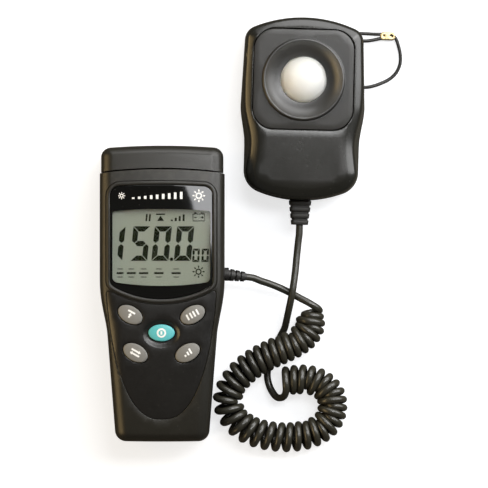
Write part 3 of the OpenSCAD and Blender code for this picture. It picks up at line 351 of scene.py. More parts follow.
def add(tree, kind, values=None, **settings):
    """A node with its settings, and its inputs set to a value or linked to a socket."""
    node = tree.nodes.new(kind)
    for key, value in settings.items():
        setattr(node, key, value)
    for key, value in (values or {}).items():
        if isinstance(value, bpy.types.NodeSocket):
            tree.links.new(value, node.inputs[key])
        else:
            node.inputs[key].default_value = value
    return node


def connect(tree, node, sockets):
    for key, socket in sockets.items():
        tree.links.new(socket, node.inputs[key])


def object_place(tree):
    return add(tree, "ShaderNodeTexCoord").outputs["Object"]


def noise(tree, place, scale, detail, roughness=0.5):
    values = {"Vector": place, "Scale": scale, "Detail": detail, "Roughness": roughness}
    return add(tree, "ShaderNodeTexNoise", values).outputs["Fac"]


def ranged(tree, value, low, high):
    """0 at the low value, 1 at the high one."""
    return add(tree, "ShaderNodeMapRange", {0: value, 1: low, 2: high}).outputs[0]


def product(tree, a, b):
    return add(tree, "ShaderNodeMath", {0: a, 1: b}, operation="MULTIPLY").outputs[0]


def mixed_colour(tree, share, first, second):
    """From the first colour to the second by a share; each is a colour or a socket."""
    a, b = [c if isinstance(c, bpy.types.NodeSocket) else (*c, 1) for c in (first, second)]
    return add(tree, "ShaderNodeMix", {0: share, 6: a, 7: b}, data_type="RGBA").outputs[2]


# Effects that materials share

def moulded_grain():
    """Fine moulded texture, slow drift of tone and patches of polish from handling."""
    tree, given, out = new_group(
        "moulded_grain",
        [("Colour", COLOUR, (0.03, 0.03, 0.03, 1)), ("Grain", FLOAT, 2600), ("Drift", FLOAT, 0.12),
         ("Roughness", FLOAT, 0.4)],
        [("Colour", COLOUR), ("Roughness", FLOAT), ("Height", FLOAT)])
    polish = 0.4
    place = object_place(tree)
    grain = noise(tree, place, given.outputs["Grain"], 3.0)
    slow = noise(tree, place, 55.0, 4.0, 0.6)
    speck = noise(tree, place, 900.0, 2.0)
    both = add(tree, "ShaderNodeMath", {0: slow, 1: speck}, operation="ADD").outputs[0]
    swing = add(tree, "ShaderNodeMath", {0: both, 1: 1.0}, operation="SUBTRACT").outputs[0]
    shade = add(tree, "ShaderNodeMath", {0: swing, 1: given.outputs["Drift"], 2: 1.0},
                operation="MULTIPLY_ADD").outputs[0]
    tone = add(tree, "ShaderNodeVectorMath", {0: given.outputs["Colour"], 1: shade}, operation="MULTIPLY")
    varied = add(tree, "ShaderNodeMath", {0: swing, 1: polish, 2: 1.0}, operation="MULTIPLY_ADD").outputs[0]
    rough = product(tree, varied, given.outputs["Roughness"])
    connect(tree, out, {"Colour": tone.outputs[0], "Roughness": rough, "Height": grain})
    return tree


def rubbed_edges():
    """Where edges stand proud and hands have rubbed them paler, broken up by noise."""
    tree, given, out = new_group("rubbed_edges", [("Amount", FLOAT, 0.5)], [("Mask", FLOAT)])
    bend = add(tree, "ShaderNodeNewGeometry").outputs["Pointiness"]
    proud = ranged(tree, bend, 0.515, 0.58)
    broken = ranged(tree, noise(tree, object_place(tree), 260.0, 5.0), 0.42, 0.68)
    connect(tree, out, {"Mask": product(tree, product(tree, proud, broken), given.outputs["Amount"])})
    return tree


def fine_dust():
    """Sparse specks of dust."""
    tree, given, out = new_group("fine_dust", [("Density", FLOAT, 0.5)], [("Mask", FLOAT)])
    place = object_place(tree)
    cells = add(tree, "ShaderNodeTexVoronoi", {"Vector": place, "Scale": 700.0})
    dots = ranged(tree, cells.outputs["Distance"], 0.16, 0.05)
    patches = ranged(tree, noise(tree, place, 130.0, 3.0), 0.5, 0.72)
    connect(tree, out, {"Mask": product(tree, product(tree, dots, patches), given.outputs["Density"])})
    return tree


GRAIN, WEAR, DUST = moulded_grain(), rubbed_edges(), fine_dust()
RUB_AMOUNT, DUST_GREY, RELIEF_DEPTH = 0.5, (0.3, 0.29, 0.27), 0.00012


def finish(name, colour, roughness, grain=2600, drift=0.12, bump=0.12, worn=None, dust=0.0, fixed=None):
    """A material from the shared effects; fixed are the shader's own constant values."""
    material, tree, shader = new_material(name)
    skin = add(tree, "ShaderNodeGroup",
               {"Colour": (*colour, 1), "Grain": grain, "Drift": drift, "Roughness": roughness},
               node_tree=GRAIN)
    tone = skin.outputs["Colour"]
    if worn:
        rub = add(tree, "ShaderNodeGroup", {"Amount": RUB_AMOUNT}, node_tree=WEAR)
        tone = mixed_colour(tree, rub.outputs["Mask"], tone, worn)
    if dust:
        specks = add(tree, "ShaderNodeGroup", {"Density": dust}, node_tree=DUST)
        tone = mixed_colour(tree, specks.outputs["Mask"], tone, DUST_GREY)
    relief = add(tree, "ShaderNodeBump",
                 {"Height": skin.outputs["Height"], "Strength": bump, "Distance": RELIEF_DEPTH})
    connect(tree, shader, {"Base Color": tone, "Roughness": skin.outputs["Roughness"],
                           "Normal": relief.outputs[0]})
    for key, value in (fixed or {}).items():
        shader.inputs[key].default_value = value
    return material


# Finishes

CASE_BLACK, PROBE_BLACK = (0.0162, 0.015, 0.011), (0.0122, 0.0119, 0.0092)
RUBBED_CASE, RUBBED_PROBE, RUBBED_PLATE = (0.05, 0.046, 0.038), (0.05, 0.046, 0.04), (0.06, 0.056, 0.05)

case_plastic = finish("case_plastic", CASE_BLACK, 0.37, grain=1700, bump=0.2, worn=RUBBED_CASE, dust=0.3,
                      fixed={"Specular IOR Level": 0.55})
panel_plastic = finish("panel_plastic", (0.007, 0.0063, 0.005), 0.34, grain=1900, bump=0.14, dust=0.3,
                       fixed={"Specular IOR Level": 0.75})
probe_plastic = finish("probe_plastic", PROBE_BLACK, 0.24, bump=0.03, worn=RUBBED_PROBE, dust=0.3,
                       fixed={"Specular IOR Level": 0.7})
case_back = finish("case_back", CASE_BLACK, 0.37, grain=1700, bump=0.2, dust=0.3)
probe_back = finish("probe_back", PROBE_BLACK, 0.26, bump=0.03, dust=0.3)
bezel_plastic = finish("bezel_plastic", (0.024, 0.0232, 0.0212), 0.32, worn=RUBBED_PLATE, dust=0.3)
bowl_plastic = finish("bowl_plastic", (0.02, 0.0195, 0.018), 0.36, bump=0.05, worn=RUBBED_PLATE, dust=0.3,
                      fixed={"Specular IOR Level": 1.0})
key_rubber = finish("key_rubber", (0.195, 0.188, 0.169), 0.5, grain=3000, drift=0.08, bump=0.1)
teal_rubber = finish("teal_rubber", (0.105, 0.48, 0.5), 0.42, grain=3000, drift=0.06, bump=0.1)
white_ink = finish("white_ink", (0.86, 0.86, 0.83), 0.45, drift=0.05, bump=0.04)
cord_skin = finish("cord_skin", (0.029, 0.027, 0.0185), 0.31, grain=1800, bump=0.1, dust=0.3,
                   fixed={"Specular IOR Level": 0.7})
tether_skin = finish("tether_skin", (0.014, 0.0125, 0.0095), 0.45, grain=1800, bump=0.15)
soft_black = finish("soft_black", (0.02, 0.0185, 0.0165), 0.5, grain=2200, bump=0.15, dust=0.3)
inner_black = finish("inner_black", (0.02, 0.02, 0.02), 0.6)
lens_black = finish("lens_black", (0.0035, 0.0035, 0.003), 0.05, drift=0.3, bump=0.003, dust=0.25,
                    fixed={"Specular IOR Level": 0.5})
display_ink = finish("display_ink", (0.012, 0.014, 0.006), 0.35, drift=0.2, bump=0.02,
                     fixed={"Specular IOR Level": 0.0})
opal = finish("opal", (0.9, 0.905, 0.86), 0.42, grain=1500, drift=0.03, bump=0.03,
              fixed={"Subsurface Weight": 1.0, "Subsurface Scale": 0.03, "Subsurface Radius": (1, 1, 0.95)})
opal.node_tree.nodes["Principled BSDF"].subsurface_method = "BURLEY"
brass = finish("brass", (0.78, 0.62, 0.33), 0.42, drift=0.3, bump=0.2, fixed={"Metallic": 1.0})
steel = finish("steel", (0.55, 0.55, 0.53), 0.3, drift=0.2, bump=0.15, fixed={"Metallic": 1.0})
board = finish("board", (0.02, 0.12, 0.05), 0.4, drift=0.3)
battery_print = finish("battery_print", (0.05, 0.055, 0.065), 0.35, drift=0.15)
green_glass = finish("green_glass", (0.2, 0.45, 0.25), 0.1, bump=0.01)
pink_rubber = finish("pink_rubber", (0.5, 0.25, 0.32), 0.55)


def display_glass():
    """Grey-green display with a fine cell pattern and a slow change of tint."""
    material, tree, shader = new_material("display_glass")
    place = object_place(tree)
    slow = noise(tree, place, 30.0, 2.0)
    cells = add(tree, "ShaderNodeTexWave", {"Vector": place, "Scale": 900.0}, bands_direction="DIAGONAL")
    tint = mixed_colour(tree, slow, (0.29, 0.314, 0.245), (0.337, 0.358, 0.304))
    fine = mixed_colour(tree, cells.outputs["Fac"], tint, (0.304, 0.327, 0.266))
    rough = add(tree, "ShaderNodeMapRange", {0: slow, 3: 0.3, 4: 0.42})
    connect(tree, shader, {"Base Color": fine, "Roughness": rough.outputs[0]})
    return material


def clear_glass():
    """Clear window plastic with faint smears."""
    material, tree, shader = new_material("clear_window")
    smear = noise(tree, object_place(tree), 90.0, 5.0)
    rough = add(tree, "ShaderNodeMapRange", {0: smear, 1: 0.35, 2: 0.8, 3: 0.12, 4: 0.18})
    tint = mixed_colour(tree, smear, (0.97, 0.98, 0.97), (0.95, 0.96, 0.94))
    connect(tree, shader, {"Base Color": tint, "Roughness": rough.outputs[0]})
    shader.inputs["Transmission Weight"].default_value = 1.0
    shader.inputs["IOR"].default_value = 1.24
    return material


display = display_glass()
clear_window = clear_glass()


# Camera, light and floor

# The frame is VIEW_WIDTH wide at SCALE_LEVEL, the height at which the photograph's scale is taken.
VIEW_MIDDLE, VIEW_HEIGHT, VIEW_WIDTH, SCALE_LEVEL, SENSOR = (0.03575, 0.02141), 2.0, 0.21366, 0.014, 36
STRIP_PLACE, STRIP_TURN = (0.188, 0.113), 36.6
WHITE = (1.0, 1.0, 1.0)
DIM_SURROUND, FULL_WHITE = 0.08, 1.0
FLOOR_REACH, FLOOR_LEVEL, FLOOR_LIFT = 4, -2e-5, 0.73
FADE_MIDDLE, FADE_FROM, FADE_TO = (0.036, 0.02, 0), 0.13, 0.26

camera = put("camera", bpy.data.cameras.new("camera"))
camera.location = (*VIEW_MIDDLE, VIEW_HEIGHT)
camera.data.sensor_width = SENSOR
camera.data.lens = SENSOR * (VIEW_HEIGHT - SCALE_LEVEL) / VIEW_WIDTH
scene.camera = camera
scene.view_settings.view_transform = "Standard"


def softbox(name, place, aim, size, power, colour, turn=0):
    """A rectangular lamp at a place, aimed at a point and turned about its own axis by degrees."""
    lamp = bpy.data.lights.new(name, "AREA")
    lamp.shape = "RECTANGLE"
    lamp.size, lamp.size_y = size
    lamp.energy = power
    lamp.color = colour
    holder = put(name, lamp)
    holder.location = place
    way = Vector(aim) - Vector(place)
    holder.rotation_euler = way.to_track_quat("-Z", "Y").to_euler()
    holder.rotation_euler.rotate_axis("Z", math.radians(turn))
    return holder


softbox("key_softbox", (0.37, 0.31, 0.9), (0.37, 0.31, 0), (0.66, 0.22), 5.6, (0.99, 0.995, 1.0))
window_strip = softbox("window_strip", (*STRIP_PLACE, 0.9), (*STRIP_PLACE, 0), (0.12, 0.24), 0.8,
                       (0.97, 0.98, 1.0), STRIP_TURN)
softbox("right_softbox", (1.01, 0.42, 0.6), (0.04, 0.1, 0), (0.8, 0.65), 7.6, WHITE)
softbox("top_softbox", (0.4, 0.96, 0.6), (0.04, 0.04, 0), (1.3, 0.65), 10.6, WHITE)
softbox("warm_card", (-0.74, -0.1, 0.43), (0.0, 0.0, 0.02), (1.1, 0.3), 4.0, (1.0, 0.72, 0.34))


def surround():
    """A world that is white to the camera alone and dim to all else."""
    world = bpy.data.worlds.new("world")
    world.use_nodes = True
    tree = world.node_tree
    backdrop = tree.nodes["Background"]
    ray = add(tree, "ShaderNodeLightPath")
    strength = add(tree, "ShaderNodeMix", {0: ray.outputs["Is Camera Ray"], 2: DIM_SURROUND, 3: FULL_WHITE},
                   data_type="FLOAT")
    tree.links.new(strength.outputs[0], backdrop.inputs["Strength"])
    backdrop.inputs["Color"].default_value = (*WHITE, 1)
    return world


def pale_floor():
    """Pale floor that takes the shadow, and is darker in reflections.

    The camera alone sees it lifted towards white, and wholly white far from the object."""
    material, tree, shader = new_material("pale_floor")
    ray = add(tree, "ShaderNodeLightPath")
    to_camera = ray.outputs["Is Camera Ray"]
    bounce = mixed_colour(tree, ray.outputs["Is Glossy Ray"], (0.45, 0.43, 0.4), (0.12, 0.11, 0.09))
    tone = mixed_colour(tree, to_camera, bounce, (0.48, 0.49, 0.51))
    tree.links.new(tone, shader.inputs["Base Color"])
    shader.inputs["Roughness"].default_value = 0.9
    shader.inputs["Specular IOR Level"].default_value = 0.0
    lift = product(tree, to_camera, FLOOR_LIFT)
    glow = add(tree, "ShaderNodeEmission", {"Color": (*WHITE, 1), "Strength": lift})
    lifted = add(tree, "ShaderNodeAddShader", {0: shader.outputs[0], 1: glow.outputs[0]})
    place = add(tree, "ShaderNodeNewGeometry").outputs["Position"]
    away = add(tree, "ShaderNodeVectorMath", {0: place, 1: FADE_MIDDLE}, operation="DISTANCE")
    far = add(tree, "ShaderNodeMapRange", {0: away.outputs["Value"], 1: FADE_FROM, 2: FADE_TO},
              interpolation_type="SMOOTHSTEP")
    white = add(tree, "ShaderNodeEmission", {"Color": (*WHITE, 1), "Strength": FULL_WHITE})
    faded = add(tree, "ShaderNodeMixShader",
                {0: product(tree, far.outputs[0], to_camera), 1: lifted.outputs[0], 2: white.outputs[0]})
    tree.links.new(faded.outputs[0], tree.nodes["Material Output"].inputs["Surface"])
    return material


scene.world = surround()
floor_mesh = bpy.data.meshes.new("floor")
floor_mesh.from_pydata([(sx * FLOOR_REACH, sy * FLOOR_REACH, FLOOR_LEVEL)
                        for sx, sy in ((-1, -1), (1, -1), (1, 1), (-1, 1))], [], [(0, 1, 2, 3)])
floor_mesh.materials.append(pale_floor())
floor = put("floor", floor_mesh)


# Curly cord

CORD, CORD_SIDES, CORD_TUCK, LEAD_OUT, LEAD_STEP = 3.1, 14, 1.5, 1.5, 1.4
SLEEVE_ROOT, SLEEVE_LENGTH = np.array([27.35, 8.2, 16]), 9.6
SLEEVE_LEAN, SLEEVE_TURN = math.radians(13), math.radians(7.5)
SLEEVE_WAY = np.array([math.cos(SLEEVE_LEAN) * math.cos(SLEEVE_TURN),
                       -math.cos(SLEEVE_LEAN) * math.sin(SLEEVE_TURN), -math.sin(SLEEVE_LEAN)])
SLEEVE_TIP = SLEEVE_ROOT + SLEEVE_LENGTH * SLEEVE_WAY
COIL = np.array([
    (64.8, -7.6, 6.7), (65.8, -17.4, 8), (55.4, -23.8, 10.7), (44.2, -28, 10.4), (33.6, -35.2, 7.2),
    (26, -47.2, 6.7), (33.8, -59.6, 6.7), (46.6, -63.4, 6.7), (60, -64, 6.7), (74.4, -58.6, 6.7),
    (75.8, -43.2, 6.7), (64.4, -37, 6.7), (54, -39, 6.7)])
METER_LEAD = [
    (43.2, 5.2, 11.8), (47.4, 3.8, 10.4), (51.8, 2, 9.4), (55.8, 0.1, 9), (60.6, -2.5, 9.9),
    (63.9, -4.2, 10.4), (66.4, -5.7, 10.2), (68.3, -7, 9.1)]
PROBE_LEAD = [
    (54.1, -43.6, 10.3), (52.8, -45.9, 7.4), (50, -45.9, 4.6), (47.2, -41.8, 2.2), (46, -36.6, 1.65),
    (46.8, -31.4, 1.65), (49, -25, 1.65), (51.6, -19.6, 1.9), (53.6, -15.6, 3.7), (54.6, -11.2, 7.2),
    (55.6, -6.4, 10.6), (56.5, -2, 12.5), (57.2, 2, 12.8), (58.1, 8.4, 12.1), (58.9, 16.4, 11.3),
    (59.6, 23, 11)]
PROBE_TIP = (0, -PROBE_END - BOOT_LENGTH, PROBE_SEAM)
CURLS_BETWEEN = np.array([4, 4, 3.5, 3.5, 3, 3, 3, 3, 4, 5, 4, 3])
CURLS = int(CURLS_BETWEEN.sum())
CURL_WIDTH, CURL_GAP, RINGS_PER_CURL, SOFTENED_RINGS = 13.3, 0.1, 24, 11
EASED_CURLS = np.linspace(-2, 2, 9)
CURL_RADIUS = (CURL_WIDTH - CORD) / 2
CURL_ROOM = CORD + CURL_GAP


def coil_share(u):
    """Place along the coil's points after u curls, eased where the spacing of the curls changes."""
    spans = np.concatenate([[0], CURLS_BETWEEN, CURLS_BETWEEN[-1:]])
    begins = np.concatenate([-CURLS_BETWEEN[:1], np.cumsum(spans)])
    return np.interp(u + EASED_CURLS, begins, np.arange(-1, len(COIL) + 1)).mean()


def coil_at(u):
    """Middle of the coil after u curls."""
    t = coil_share(min(max(u, 0), CURLS))
    i = min(int(t), len(COIL) - 2)
    f = t - i
    b, c = COIL[i], COIL[i + 1]
    a = COIL[i - 1] if i > 0 else 2 * b - c
    d = COIL[i + 2] if i < len(COIL) - 2 else 2 * c - b
    g = 1 - f
    return (g ** 3 * a + (3 * f ** 3 - 6 * f * f + 4) * b + (3 * g ** 3 - 6 * g * g + 4) * c + f ** 3 * d) / 6


def coil_way(u):
    v = coil_at(u + 0.25) - coil_at(u - 0.25)
    v[2] = 0
    return unit(v)


def curl_reach(u):
    """Radius of the curl; inside a bend every other one steps in towards the middle."""
    low, high = max(0, u - 0.5), min(CURLS, u + 0.5)
    before, after = coil_way(low), coil_way(high)
    bend = CURL_RADIUS * math.asin(before[0] * after[1] - before[1] * after[0])
    bend /= np.linalg.norm(coil_at(u + 0.5) - coil_at(u - 0.5))
    pitch = np.linalg.norm(coil_at(high) - coil_at(low)) / (high - low)
    spacing = pitch * (1 - bend * math.cos(math.pi / 2 - 2 * math.pi * u))
    step_in = math.sqrt(max(0, CURL_ROOM ** 2 - spacing ** 2))
    phase = u - (0.25 if bend > 0 else 0.75)
    return CURL_RADIUS - step_in * (1 + math.cos(math.pi * phase)) / 2


def curl_point(u, reach):
    """Each curl runs over the top and back below."""
    way = coil_way(u)
    left = np.array([-way[1], way[0], 0])
    a = math.pi / 2 - 2 * math.pi * u
    return coil_at(u) + reach * (math.cos(a) * left + np.array([0, 0, math.sin(a)]))


def cord_middle():
    """Middle line of the cord, from inside the meter's sleeve to inside the detector's boot."""
    turns = np.arange(RINGS_PER_CURL // 4, CURLS * RINGS_PER_CURL + 1) / RINGS_PER_CURL
    soften = np.hanning(SOFTENED_RINGS) / np.hanning(SOFTENED_RINGS).sum()
    reaches = np.pad([curl_reach(u) for u in turns], SOFTENED_RINGS // 2, "edge")
    curls = [curl_point(u, r) for u, r in zip(turns, np.convolve(reaches, soften, "valid"))]
    first = smooth_path(
        [SLEEVE_TIP - CORD_TUCK * SLEEVE_WAY, SLEEVE_TIP + CORD * SLEEVE_WAY] + METER_LEAD + [curls[0]],
        LEAD_STEP)
    last = smooth_path(
        [curls[-1], curls[-1] + LEAD_OUT * unit(curls[-1] - curls[-2])] + PROBE_LEAD
        + [on_table((0, PROBE_TIP[1] + along, PROBE_SEAM)) for along in (-CORD, CORD_TUCK)], LEAD_STEP)
    return first[:-1] + curls + last[1:]


cord_path = cord_middle()
form = Form()
tube(form, cord_path, CORD / 2, CORD_SIDES)
cord = form.build("curly_lead", cord_skin, None)
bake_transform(cord)
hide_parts("meter_lead", "curly_cord", "probe_lead")


# Tether

TETHER, TETHER_SIDES, TETHER_STEP, TAIL_STEP = 1.5, 12, 1.6, 1.2
TETHER_POINTS = [
    (22, 10.4, 5.2), (27.2, 10.4, 5.2), (30.6, 11, 4.4), (34.2, 12.4, 2.4), (38, 14.4, 1), (41, 17.4, 0.8),
    (42.6, 21.4, 0.8), (42.6, 25.4, 0.8), (41.6, 29.4, 0.9), (40.4, 32.4, 1.2), (38.2, 34, 1.4),
    (35, 34.1, 1.6), (30.6, 34, 3), (27.2, 34, 5.2), (22, 34, 5.2)]
TAIL_POINTS = [(22, 30.8, 5.2), (27.2, 30.8, 5.2), (30.6, 31.4, 3.6), (34.6, 32.4, 1.6), (37.4, 32.4, 1.4)]
CLASP_PLACE, CLASP_TOP, CLASP_FOOT = (36.7, 33.25), 2.9, 0.1
CLASP_REACH_X, CLASP_REACH_Y, CLASP_CORNER, CLASP_HOLE_SHIFT = 1.95, 0.35, 1.4, 0.15
CLASP_EDGE = [(-0.4, 2.8), (-0.1, 2.65), (0, 2.3), (0, 0.45), (-0.1, 0.2), (-0.3, 0.05), (-0.55, 0)]
CLASP_HOLES = ((35.1, 0.42), (38.5, 0.8))


def clasp_top(x, y):
    return CLASP_TOP


def tether_cord(name, path):
    form = Form()
    tube(form, path, TETHER / 2, TETHER_SIDES)
    return form.build(name, tether_skin, "probe")


def tether_clasp():
    """Brass clasp with two small holes in its top."""
    form = Form()
    plan = resample(round_rectangle(CLASP_REACH_X, CLASP_REACH_Y, CLASP_CORNER, 10, CLASP_PLACE), 72)
    made = stepped(form, plan, CLASP_EDGE, clasp_top)
    holes = []
    for x, r in CLASP_HOLES:
        mouth = ellipse(r, r, (x, CLASP_PLACE[1] + CLASP_HOLE_SHIFT), count=28)
        holes.append(stepped(form, mouth, [(0.12, 0), (0.03, 0.05), (0, 0.15), (0, 1.1), (-0.8 * r, 1.1)],
                             clasp_top))
    form.fill(made[-1], [h[0] for h in holes], clasp_top, 0.6)
    form.fill(made[0], [], lambda x, y: CLASP_FOOT, 0.8)
    for h in holes:
        form.faces.append(tuple(h[-1]))
    form.set_down()
    return form.build("tether_clasp", brass, "probe")


tether_path = [on_table(p) for p in smooth_path(TETHER_POINTS, TETHER_STEP)]
tether = tether_cord("tether_loop", tether_path)
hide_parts("tether_cord")
tail = tether_cord("tether_end", [on_table(p) for p in smooth_path(TAIL_POINTS, TAIL_STEP)])
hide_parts("tether_tail")
clasp = tether_clasp()
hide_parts("tether_crimp")


# Meter housing

METER_HEIGHT, FACE_ARCH, FACE_TOP_Y, FACE_CROWN = 38, 420, 22, 400
GRIP_HALF, GRIP_FLARE, GRIP_FOOT, GRIP_LENGTH, SHOULDER = 21, 3, -56, 38, (-18, 6)
FOOT_ARC, HEAD_ARC, BACK_EDGE, PARTING, PARTING_DEPTH = 900, 300, 3.6, 0.3, 2.2
BEVEL, BEVEL_FALL, BEVEL_CURVE, FOOT_SHARE = 5.0, 2.4, 1.8, 0.7
EDGE_STEPS = np.concatenate([LIP_STEPS, np.linspace(LIP, BEVEL, 10)[1:]])
JOINT_STEP, JOINT_EDGE = 4, 0.1
CAP_SETBACK, CAP_GAP, CAP_TUCK = 0.55, 0.5, 0.12
CAP_FOOT_STEPS, CAP_SIDE_STEPS, CAP_HEAD_STEPS = 24, 12, (16, 12)
SHELL_STEPS = (30, 10, 50)
HALF_COUNT = 2 * SHELL_STEPS[0] + 2 * SHELL_STEPS[1] + SHELL_STEPS[2] + 1
JOINT_FROM = HALF_COUNT - SHELL_STEPS[0] - SHELL_STEPS[1] // 2
WINDOW_FOOT, WINDOW_FOOT_ARC = -2.4, 43
WINDOW = straight_sided(22.2, (WINDOW_FOOT, 47), (WINDOW_FOOT_ARC, 330), (3, 4.2), 420)
VIEW = straight_sided(21.2, (3.3, 36.6), (130, 220), (2.4, 0.8), 360)
WINDOW_RIM, RIM_GAP, PANEL_GAP = 1.7, 0.5, 0.2
PANEL_HALF, PANEL_FOOT, PANEL_CORNER, PANEL_BOW, PANEL_TIP = 23.8, -54.7, 1.2, 1.6, 0.4
PANEL_SIDE_STEPS, PANEL_SIDE_GROWTH, PANEL_CORNER_STEPS, PANEL_HEAD_STEPS = 120, 2.2, 16, 60
RIM = [(2.1, 0), (2.07, 0.05), (2.03, 0.3), (1.94, 0.45), (1.8, 0.42), (1.72, 0.12), (1.6, 0.0), (1.4, -0.06),
       (1.1, -0.08), (0.7, -0.05), (0.4, 0.03), (0.24, 0.14), (0.17, 0.32), (0.15, 0.6), (0.15, 1.9)]
PANEL_EDGE = [(0.24, 0), (0.17, 0.04), (0.11, 0.13), (0.07, 0.3), (0.06, 0.5), (0.06, 1.9)]


def face_z(y):
    """Height of the arched face along the middle."""
    return METER_HEIGHT - FACE_ARCH + math.sqrt(FACE_ARCH ** 2 - (y - FACE_TOP_Y) ** 2)


def meter_half(y):
    """Half the meter's width: a slim grip that swells into the head."""
    grip = GRIP_HALF + GRIP_FLARE * (y - GRIP_FOOT) / GRIP_LENGTH
    return grip + (HEAD_HALF - grip) * smooth_step(*SHOULDER, y)


def crown(x):
    """Fall of the face towards its sides."""
    return x * x / (2 * FACE_CROWN)


def bevel_drop(inset, reach, fall, curve):
    """Fall of a face towards its edge: a broad bevel, then a small radius."""
    slope, lack = max(0, 1 - inset / reach), max(0, LIP - inset)
    return fall * slope ** curve + LIP - math.sqrt(LIP ** 2 - lack ** 2)


def edge_drop(inset):
    return bevel_drop(inset, BEVEL, BEVEL_FALL, BEVEL_CURVE)


def face(x, y):
    """Height of the arched face with its bevel along the sides."""
    return face_z(y) - crown(x) - edge_drop(max(0, meter_half(y) - abs(x) - DRAFT))


def shell_ring(inset, drop=None, low=0, aside=0):
    """A ring of the front housing and, for each point, whether it is on the joint with the cap.

    The joint keeps its place at every inset."""
    half = half_outline(
        lambda y: meter_half(y) - aside, (-METER_END, JOINT + inset), (FOOT_ARC, CAP_ARC + inset),
        (METER_CORNER, SHARPEST + inset), inset, SHELL_STEPS)
    at_joint = [i >= JOINT_FROM for i in range(HALF_COUNT)]
    ring = [(x, y, low if drop is None else face_z(y) - crown(x) - drop) for x, y in both_halves(half)]
    return ring, at_joint + at_joint[-2:0:-1]


def panel_outline():
    """Shield shape whose head follows the window's foot, with small round corners."""
    centre_y = WINDOW_FOOT + WINDOW_FOOT_ARC
    curve = WINDOW_FOOT_ARC + WINDOW_RIM + RIM_GAP + PANEL_GAP
    shoulder = centre_y - math.sqrt(curve ** 2 - PANEL_HALF ** 2)
    drop = shoulder - PANEL_FOOT

    def side(t):
        return np.array([PANEL_HALF * max(0, 1 - t ** PANEL_BOW) ** PANEL_TIP, shoulder - t * drop])

    def corner_at(t):
        way = unit(side(t - 1e-4) - side(t + 1e-4))
        return side(t) + PANEL_CORNER * np.array([-way[1], way[0]])

    low, high = 0.002, 0.3
    for _ in range(50):
        t = (low + high) / 2
        c = corner_at(t)
        if math.hypot(c[0], c[1] - centre_y) < curve + PANEL_CORNER:
            low = t
        else:
            high = t
    middle = corner_at(t)
    points = [tuple(side(1 - (1 - t) * (i / PANEL_SIDE_STEPS) ** PANEL_SIDE_GROWTH))
              for i in range(PANEL_SIDE_STEPS + 1)]
    begin = math.atan2(*(side(t) - middle)[::-1])
    end = math.atan2(centre_y - middle[1], -middle[0])
    for i in range(1, PANEL_CORNER_STEPS + 1):
        a = begin + (end - begin) * i / PANEL_CORNER_STEPS
        points.append((middle[0] + PANEL_CORNER * math.cos(a), middle[1] + PANEL_CORNER * math.sin(a)))
    reach = points[-1][0]
    for i in range(1, PANEL_HEAD_STEPS + 1):
        x = reach * (1 - i / PANEL_HEAD_STEPS)
        points.append((x, centre_y - math.sqrt(curve ** 2 - x * x)))
    return resample(both_halves(points), 520)


PANEL = panel_outline()


def front_housing():
    """Upper half of the housing, open at the window and the key panel."""
    form = Form()
    rings = [shell_ring(PARTING_DEPTH, low=SEAM)[0], shell_ring(PARTING, low=SEAM)[0],
             shell_ring(0, low=SEAM + PARTING)[0]]
    inner = []
    for step, inset in enumerate(EDGE_STEPS):
        aside = (1 - FOOT_SHARE) * inset
        ring, at_joint = shell_ring(DRAFT + FOOT_SHARE * inset, edge_drop(inset), aside=aside)
        if step < JOINT_STEP:
            rings.append(ring)
        elif step == JOINT_STEP:
            rings.append([(x, y, face(x, y) - JOINT_EDGE if joined else z)
                          for (x, y, z), joined in zip(ring, at_joint)])
            rings.append([(x, y - JOINT_EDGE, z + JOINT_EDGE) if joined else (x, y, z)
                          for (x, y, z), joined in zip(rings[-1], at_joint)])
        else:
            inner += [p for p, joined in zip(ring, at_joint) if not joined]
    edge = form.loft(rings)[-1]
    window_hole = stepped(form, WINDOW, RIM, face)[0]
    panel_hole = stepped(form, PANEL, PANEL_EDGE, face)[0]
    form.fill(edge, [window_hole, panel_hole], face, FACE_NET, inner)
    return form.build("front_housing", case_plastic, "meter")


def cap_ring(inset, tuck=0, aside=0):
    """Outline of the cap: its foot keeps the joint's curve at every inset."""
    inset += CAP_SETBACK
    head = crowned_end(lambda y: meter_half(y) - aside, METER_END, 1, HEAD_ARC, METER_CORNER, inset,
                       CAP_HEAD_STEPS)
    foot = [(x, JOINT - CAP_ARC + math.sqrt((CAP_ARC + CAP_GAP) ** 2 - x * x) + tuck)
            for x in np.linspace(0, HEAD_HALF - inset - aside, CAP_FOOT_STEPS + 1)]
    heights = np.linspace(foot[-1][1], head[-1][1], CAP_SIDE_STEPS + 1)[1:-1]
    return both_halves(foot + [(meter_half(y) - inset - aside, y) for y in heights] + head[::-1])


def end_cap():
    """Closed cap at the head, from its rounded back edge to its bevelled face."""
    form = Form()
    rings = []
    for in_share, drop_share in reversed(rounding()):
        ring = cap_ring(DRAFT + BACK_EDGE * in_share, CAP_TUCK * in_share)
        rings.append([(x, y, CAP_SETBACK + BACK_EDGE * drop_share) for x, y in ring])
    rings.append([(x, y, SEAM) for x, y in cap_ring(0)])
    for inset in EDGE_STEPS:
        ring = cap_ring(DRAFT + FOOT_SHARE * inset, CAP_TUCK * inset / BEVEL, (1 - FOOT_SHARE) * inset)
        rings.append([(x, y, face_z(y) - crown(x) - CAP_SETBACK - edge_drop(inset)) for x, y in ring])
    made = form.loft(rings)
    form.fill(made[-1], [], lambda x, y: face_z(y) - crown(x) - CAP_SETBACK, FACE_NET)
    form.fill(made[0], [], lambda x, y: CAP_SETBACK, FACE_NET)
    return form.build("end_cap", case_plastic, "meter")


front = front_housing()
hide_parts("front_shell")
cap = end_cap()
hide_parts("head_cap")


# Window

LENS_LIFT, LENS_CROWN, LENS_THICK, PANE_GAP = 0.05, 220, 1.6, 0.01


def lens(x, y):
    """Top of the window, crowned across its width."""
    return face_z(y) + LENS_LIFT - x * x / (2 * LENS_CROWN)


